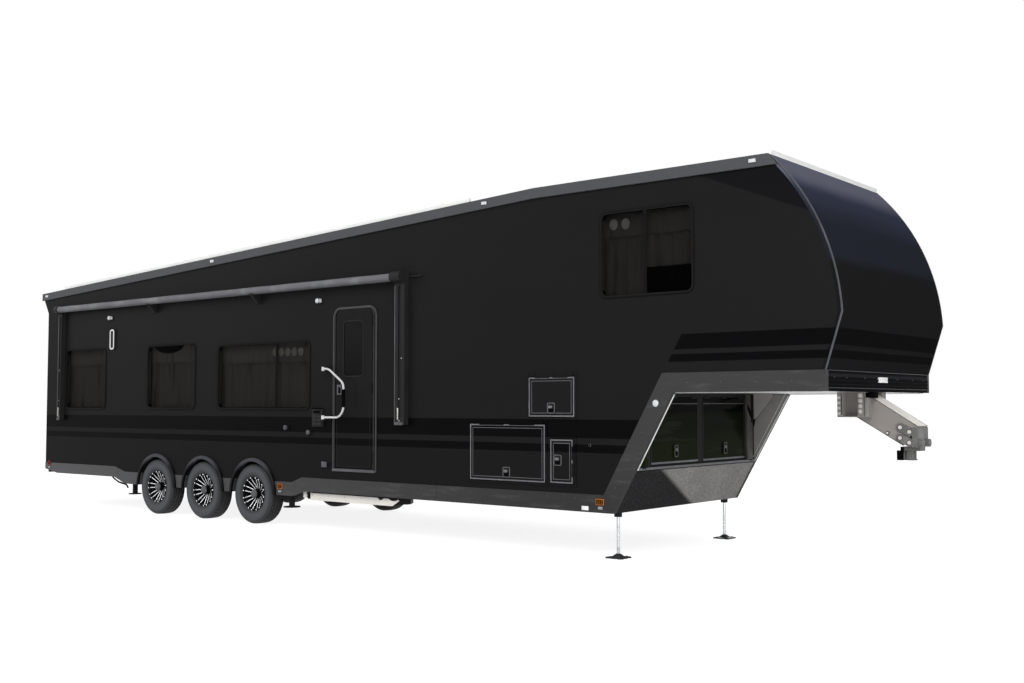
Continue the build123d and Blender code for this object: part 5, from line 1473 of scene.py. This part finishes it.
def dressLamps():
    y = -halfWidth - 0.006
    for kind, rows in lamps["skirt"].items():
        lensParts, bases = [], []
        for x, z, long, tall in rows:
            bases.append(stationBlock("lampBase", "darkTrim", around(x, long + 0.006),
                                      (y, y - 0.004), around(z, tall + 0.006), 0.001))
            lensParts.append(stationBlock("lampLens", kind, around(x, long), (y - 0.003, y - 0.010),
                                          around(z, tall), 0.0035, 3))
            for share in (-0.25, 0.0, 0.25):
                lensParts.append(stationBlock("lensRib", kind, around(x + long * share, 0.003),
                                              (y - 0.009, y - 0.0108), around(z, tall * 0.72),
                                              0.0005))
        bothSides(joined("skirtLamp_" + kind, lensParts), "trailer")
        bothSides(joined("skirtLampBase_" + kind, bases), "trailer")
    markers = []
    y = -halfWidth - 0.025
    for x in lamps["marker"]:
        z = roofEdge(x) - 0.052
        markers.append(stationBlock("markerLens", "clear", around(x, 0.066), (y, y - 0.0125),
                                    around(z, 0.032), 0.006, 3))
        markers.append(stationBlock("markerBase", "edgeTrim", around(x, 0.088), (y, y - 0.004),
                                    around(z, 0.042), 0.001))
    bothSides(joined("fasciaMarkers", markers), "trailer")
    mid, foot = lamps["tail"]
    stack = [stationBlock("tailLens", kind, (-0.009, -0.018), (-mid - 0.034, -mid + 0.034),
                          (foot + low + 0.002, foot + high - 0.002), 0.004, 3)
             for kind, low, high in lamps["tailLenses"]]
    bothSides(joined("tailLamp", stack), "trailer")


dressLamps()
print("lamps dressed")


# Fascia and skirt screws, the lap joints of the skirt, and a painted shade line along its crease
fixing = {
    "fascia": (0.12, 12.3, 0.46),
    "skirts": ((6.05, 10.7, 0.600), (11.70, 13.05, 1.765)),
    "skirtPitch": 0.36,
    "slopeFoot": (10.72, 0.461),
    "slopeHeights": (0.72, 1.00, 1.28, 1.56),
    "laps": (2.05, 6.02, 8.44),
    "lapHeights": (0.492, 0.640),
    "crease": ((6.0, 10.80), (0.6425, 0.6450)),
}


def dressSkirts():
    y = -halfWidth - 0.025
    places = [(at(x), y, roofEdge(x) - 0.088) for x in spaced(*fixing["fascia"])]
    bothSides(headRow("fasciaScrews", "edgeTrim", places, (0, -1, 0), 0.005, 0.0025, 8), "trailer")
    y = -halfWidth - 0.006
    places = [(at(x), y, z) for start, stop, z in fixing["skirts"]
              for x in spaced(start, stop, fixing["skirtPitch"])]
    x, foot = fixing["slopeFoot"]
    places += [(at(x + (z - foot) * neckSlope), y, z) for z in fixing["slopeHeights"]]
    bothSides(headRow("skirtScrews", "edgeTrim", places, (0, -1, 0), 0.006, 0.003, 8), "trailer")
    seams = [stationBlock("skirtLap", "darkTrim", (x, x + 0.003), (y, y - 0.001),
                          fixing["lapHeights"], 0.0003) for x in fixing["laps"]]
    # painted shade: a dark line along the skirt's crease
    along, heights = fixing["crease"]
    seams.append(stationBlock("skirtCrease", "darkTrim", along, (y, y - 0.0012), heights, 0.0003))
    bothSides(joined("skirtSeams", seams), "trailer")


dressSkirts()
print("skirts dressed")


# Landing legs: sleeve collar, chromed rod and a lobed foot on a ball joint
legs = {
    "place": (10.770, 1.105),
    "rod": ((0, 0.020), (0.01225, 0.020), (0.01225, 0.040), (0.0175, 0.046), (0.0175, 0.634),
            (0, 0.634)),
    "foot": ((0, 0), (0.104, 0), (0.106, 0.004), (0.104, 0.0098), (0.070, 0.014), (0.058, 0.016),
             (0.050, 0.026), (0.030, 0.040), (0.024, 0.044), (0, 0.044)),
    "lobe": ((0, 0), (0.036, 0), (0.036, 0.008), (0.0288, 0.0135), (0.0144, 0.0105),
             (0.006, 0.0105), (0, 0.008)),
    "lobes": 4,
    "lobeRing": 0.09776,
    "collar": ((0.0182, 0.415), (0.0395, 0.415), (0.040, 0.419), (0.040, 0.445),
               (0.0355, 0.449), (0.0182, 0.449)),
}


def dressLegs():
    x, y = at(legs["place"][0]), -legs["place"][1]
    up = (0, 0, 1)
    bar = turnedPiece("legRod", "leg", legs["rod"], (x, y, 0), up, 24)
    bothSides(bar, "trailer", ["landing_legs"])
    parts = [turnedPiece("legFoot", "foot", legs["foot"], (x, y, 0), up, 40)]
    reach = legs["lobeRing"]
    for n in range(legs["lobes"]):
        angle = math.pi / 4 + 2 * math.pi * n / legs["lobes"]
        place = (x + math.cos(angle) * reach, y + math.sin(angle) * reach, 0)
        parts.append(turnedPiece("footLobe", "foot", legs["lobe"], place, up, 20))
        rib = blockPiece("footRib", "foot", (-0.004, 0.020, 0.010), (0.004, reach, 0.020), 0.001)
        rib.data.transform(Matrix.Translation((x, y, 0))
                           @ Matrix.Rotation(angle - math.pi / 2, 4, "Z"))
        parts.append(rib)
    bothSides(joined("legFoot", parts), "trailer")
    collar = turnedPiece("legCollar", "bracket", legs["collar"], (x, y, 0), up, 28)
    bothSides(collar, "trailer")


dressLegs()
print("legs dressed")


# Hitch: bracket faces with bolt columns, arm welds, link pins, release pin and coupler latch
hitch = {
    "flanges": {"rear": (12.738, 12.776, 0.0165, (1.618, 1.567, 1.516, 1.465)),
                "front": (12.942, 13.004, 0.0205, (1.637, 1.586, 1.535, 1.484))},
    "flangeY": (-0.219, -0.211),
    "heights": (1.430, 1.668),
    "web": ((12.711, 13.029), (-0.1305, -0.1355)),
    "foot": ((12.741, 13.004), (-0.219, -0.136)),
    "shades": (12.776, 12.932, 13.004),
    "shadeY": (-0.1295, -0.1355),
    "footShade": ((12.736, 13.015), (-0.1315, -0.1355)),
    "fill": ((13.014, 13.053), (-0.2215, -0.2105)),
    "latchBlock": ((13.252, 13.318), (-0.050, -0.040), (1.020, 1.114)),
    "latchKnob": (13.318, -0.080, 1.100, 1.150, 0.015),
    "armTop": ((13.012, 1.6475), (13.484, 1.3483), (13.4853, 1.3504), (13.0133, 1.6496)),
    "armHalf": 0.122,
    "isolator": ((13.021, 13.112), (-0.2215, -0.118), (1.612, 1.669)),
    "welds": ((13.000, 1.651, 13.489, 1.345), (13.350, 1.164, 12.890, 1.436)),
    "pins": ((13.327, 1.335), (13.415, 1.293), (13.324, 1.235), (13.412, 1.192)),
    "pinY": -0.148,
    "release": (13.199, 1.278),
}


def dressHitch():
    out = (0, -1, 0)
    z0, z1 = hitch["heights"]
    y0, y1 = hitch["flangeY"]
    bolts, faces = [], []
    for x0, x1, radius, heights in hitch["flanges"].values():
        faces.append(stationBlock("flangeFace", "arm", (x0, x1), (y0, y1), (z0, z1), 0.0015))
        column = [(at((x0 + x1) / 2), y0, z) for z in heights]
        bolts.append(headRow("bracketBolts", "bolt", column, out, radius, 0.008))
    bothSides(joined("bracketBolts", bolts), "trailer")
    # the web and foot carry the painted shade of the recess between the flanges
    rows = [("webFace", "web", *hitch["web"], (z0 + 0.012, z1), 0.0015),
            ("bracketFoot", "web", *hitch["foot"], (z0 - 0.001, z0 + 0.007), 0.0015)]
    rows += [("flangeShade", "seal", (x, x + 0.011), hitch["shadeY"], (z0, z1), 0.001)
             for x in hitch["shades"]]
    rows += [("flangeFootShade", "seal", *hitch["footShade"], (z0 - 0.001, z0 + 0.008), 0.001),
             ("flangeFill", "arm", *hitch["fill"], (z0 + 0.004, z1), 0.001)]
    faces += [stationBlock(*row) for row in rows]
    bothSides(joined("bracketEdges", faces), "trailer")
    block = stationBlock("couplerLatch", "black", *hitch["latchBlock"], 0.004)
    x, y, low, high, radius = hitch["latchKnob"]
    knob = rodPiece("latchKnob", "black", (at(x), y, low), (at(x), y, high), radius, 0.004, 20)
    ridden(joined("couplerLatch", [block, knob]), "trailer")
    # painted highlight: a thin pale skin over the arm's top face, lighter than its sides
    half = hitch["armHalf"]
    skin = sidePlate("armTopSkin", "tray", hitch["armTop"], -half, 2 * half, 0.0008)
    ridden(skin, "trailer")
    isolator = stationBlock("isolatorEnd", "black", *hitch["isolator"], 0.004)
    ridden(isolator, "trailer")
    welds = [rodPiece("armWeld", "hitch", (at(a), -0.1300, low), (at(b), -0.1300, high), 0.0045,
                      0.001, 8) for a, low, b, high in hitch["welds"]]
    bothSides(joined("armWelds", welds), "trailer")
    places = [(at(x), hitch["pinY"], z) for x, z in hitch["pins"]]
    pins = [headRow("linkPins", "bolt", places, out, 0.0185, 0.007, 20),
            headRow("linkRings", "edgeTrim", places, out, 0.0255, 0.003, 24)]
    bothSides(joined("linkPins", pins), "trailer")
    x, z = hitch["release"]
    parts = [headRow("releasePin", "black", [(at(x), -0.130, z)], out, 0.020, 0.004, 6),
             headRow("releaseHead", "bolt", [(at(x), -0.133, z)], out, 0.012, 0.009, 16)]
    bothSides(joined("releasePin", parts), "trailer")


dressHitch()
print("hitch dressed")


# Step tray below the door, with its lips, notched end and white box; drain pipes at the rear
tray = {
    "place": (6.190, -1.240, 0.365),
    "lip": (6.250, 7.680),
    "side": ((6.250, 0.365), (7.690, 0.365), (7.800, 0.427), (7.785, 0.442), (7.730, 0.425),
             (7.670, 0.425), (7.620, 0.448), (7.540, 0.448), (7.515, 0.426), (7.470, 0.426),
             (7.440, 0.452), (6.250, 0.452)),
    "whiteBox": ((6.106, 6.164), (-1.240, -1.150), (0.384, 0.468)),
    "stem": (6.135, -1.195, 0.46, 0.640, 0.010),
    "pipes": (((1.720, 0.640), (1.740, 0.470), (1.900, 0.405), (2.120, 0.372), (2.150, 0.330)),
              ((2.330, 0.640), (2.345, 0.480), (2.300, 0.420), (2.240, 0.395))),
}


def dressTray():
    x0, y, z = tray["place"]
    screws = [(at(x0) + 0.10 + 0.29 * n, y - 0.005, z + 0.060) for n in range(4)]
    parts = [sidePlate("traySide", "tray", tray["side"], y - 0.001, -0.004, 0.001),
             stationBlock("trayLip", "tray", tray["lip"], (y - 0.005, y + 0.030),
                          (z - 0.002, z + 0.002), 0.001),
             headRow("trayScrews", "edgeTrim", screws, (0, -1, 0), 0.005, 0.0025, 8)]
    ridden(joined("traySide", parts), "trailer")
    box = stationBlock("waterBox", "tray", *tray["whiteBox"], 0.006)
    x, y, low, high, radius = tray["stem"]
    stem = rodPiece("boxStem", "bracket", (at(x), y, low), (at(x), y, high), radius, 0.001)
    ridden(joined("waterBox", [box, stem]), "trailer")
    for n, path in enumerate(tray["pipes"]):
        route = [(at(x), -1.19, z) for x, z in path]
        pipe = pipePiece("drainPipe_" + str(n), "black", route, 0.012)
        ridden(pipe, "trailer")


dressTray()
print("tray dressed")


# Fenders: a row of rivets round each arch
fender = {
    "centres": (3.0334, 4.1104, 5.1874),
    "rivetRing": 0.448,
    "rivets": 11,
    "arc": (8, 172),
}


def dressFenders():
    first, last = fender["arc"]
    ring, count = fender["rivetRing"], fender["rivets"]
    angles = [math.radians(first + (last - first) * n / (count - 1)) for n in range(count)]
    rows = []
    for centre in fender["centres"]:
        places = [(at(centre) + math.cos(a) * ring, -halfWidth - 0.0365,
                   wheelHeight + math.sin(a) * ring) for a in angles]
        rows.append(headRow("fenderRivets", "fender", places, (0, -1, 0), 0.006, 0.0014, 8))
    bothSides(joined("fenderRivets", rows), "trailer")


dressFenders()
print("fenders dressed")


# Roof units: shells that lean inwards, with gills on top
units = {
    "stations": (2.6016, 7.19776, 11.40368),
    "half": (0.470, 0.330),
    "height": 0.196,
    "sunk": 0.030,
    "lean": 0.095,
    "gills": (7, -0.24, 0.07, 0.020),
}


def dressRoof():
    halfX, halfY = units["half"]
    count, first, pitch, wide = units["gills"]
    for n, station in enumerate(units["stations"]):
        name = "acShroud_" + str(n)
        x, base = at(station), roofEdge(station)
        top = base + units["height"]
        shell = blockPiece(name, "roof", (x - halfX, -halfY, base - units["sunk"]),
                           (x + halfX, halfY, top))
        for point in shell.data.vertices:
            if point.co.z > base + 0.05:
                point.co.x -= math.copysign(units["lean"], point.co.x - x)
                point.co.y -= math.copysign(units["lean"] * 0.5, point.co.y)
        parts = [rounded(shell, 0.030, 4)]
        for k in range(count):
            gill = x + first + k * pitch
            parts.append(blockPiece("gill", "edgeTrim", (gill, -halfY + 0.020, top - 0.0015),
                                    (gill + wide, halfY - 0.120, top + 0.004), 0.002))
        ridden(joined(name, parts), "trailer", ["roof_units"] if n == 0 else ())


dressRoof()
print("roof dressed")


# Tail: ramp skin ribs, bars, latches with their rods, a pull, a plate lamp and corner guards
tail = {
    "half": 1.110,
    "heights": (0.690, 2.844),
    "ribs": (-0.74, -0.37, 0.0, 0.37, 0.74),
    "bars": (0.86, 2.62),
    "latch": (1.000, 1.55),
    "pull": ((-0.10, 0.0), (-0.09, 0.016), (0.09, 0.016), (0.10, 0.0)),
    "pullHeight": 2.36,
}


def dressTail():
    ramp = -0.010  # station of the ramp's skin
    z0, z1 = tail["heights"]
    reach = tail["half"] - 0.03
    rows = [("rampRib", "darkTrim", 0.0, 0.003, around(y, 0.024), (z0 + 0.06, z1 - 0.10), 0.001)
            for y in tail["ribs"]]
    rows += [("rampBar", "edgeTrim", 0.0, 0.005, (-reach, reach), around(z, 0.020), 0.0015)
             for z in tail["bars"]]
    parts = [stationBlock(name, look, (ramp - a, ramp - b), y, z, edge)
             for name, look, a, b, y, z, edge in rows]
    z = tail["latch"][1]
    rod = at(ramp) - 0.008
    for y in (-tail["latch"][0], tail["latch"][0]):
        parts += [stationBlock("rampLatchPlate", "edgeTrim", (ramp, ramp - 0.005), around(y, 0.090),
                               around(z, 0.220), 0.002),
                  stationBlock("rampLatchPull", "bolt", (ramp - 0.004, ramp - 0.016),
                               around(y, 0.036), (z - 0.085, z + 0.030), 0.005)]
        parts += [rodPiece("rampLatchRod", "bolt", (rod, y, low), (rod, y, high), 0.006, 0.001, 12)
                  for low, high in ((z + 0.11, z1 - 0.04), (z - 0.11, z0 + 0.05))]
    route = [(at(ramp) - out, y, tail["pullHeight"]) for y, out in tail["pull"]]
    parts.append(pipePiece("rampPull", "black", route, 0.006))
    ridden(joined("rampHardware", parts), "ramp")
    rows = [("cornerGuard", "edgeTrim", (-0.001, -0.005), (side * 1.225, side * 1.243),
             (0.55, 3.0), 0.001) for side in (-1, 1)]
    rows += [("tailPlateLamp", "clear", (0.0, -0.008), (-0.06, 0.06), (0.560, 0.590), 0.003),
             ("tailHeader", "edgeTrim", (-0.001, -0.004), (-1.10, 1.10), (2.940, 2.965), 0.001)]
    ridden(joined("tailTrim", [stationBlock(*row) for row in rows]), "trailer")


dressTail()
print("tail dressed")


# Window surrounds: a slim seal round every pane, the dividers' caps and jamb liners
surround = {
    "rows": {"lounge": (0.585, 1.660, 1.5068, 2.3898),
             "galley": (2.7802, 3.8852, 1.5118, 2.3848),
             "dinette": (4.4251, 6.2621, 1.5103, 2.3383),
             "bedroom": (10.718, 11.762, 2.650, 3.480)},
    "grow": 0.026,
    "width": 0.009,
    "corner": 0.082,
    "bars": ((4.4251 + 1.837 * 0.66, 1.5103, 2.3383), (10.718 + 1.044 * 0.5, 2.650, 3.480)),
    "jamb": (1.250, 1.284),
}


def dressWindows():
    rings = []
    grow = surround["grow"]
    for x0, x1, z0, z1 in surround["rows"].values():
        rings.append(ringPiece("windowSeal", "seal", at(x0) - grow, at(x1) + grow, z0 - grow,
                               z1 + grow, -halfWidth - 0.0078, -0.0032, surround["width"],
                               surround["corner"], 0.0008))
    for x, z0, z1 in surround["bars"]:
        rings.append(stationBlock("windowBar", "seal", around(x, 0.032),
                                  (-halfWidth - 0.008, -halfWidth - 0.0110), (z0, z1), 0.0008))
    bothSides(joined("windowSeals", rings), "trailer")
    deep, shallow = surround["jamb"]
    liners = [stationBlock("jambLiner", "jamb", (x0 - 0.001, x0 + 0.003), (-shallow, -deep),
                           (z0 + 0.056, z1 - 0.056), 0.001)
              for x0, x1, z0, z1 in surround["rows"].values()]
    bothSides(joined("jambLiners", liners), "trailer")


dressWindows()
print("windows dressed")
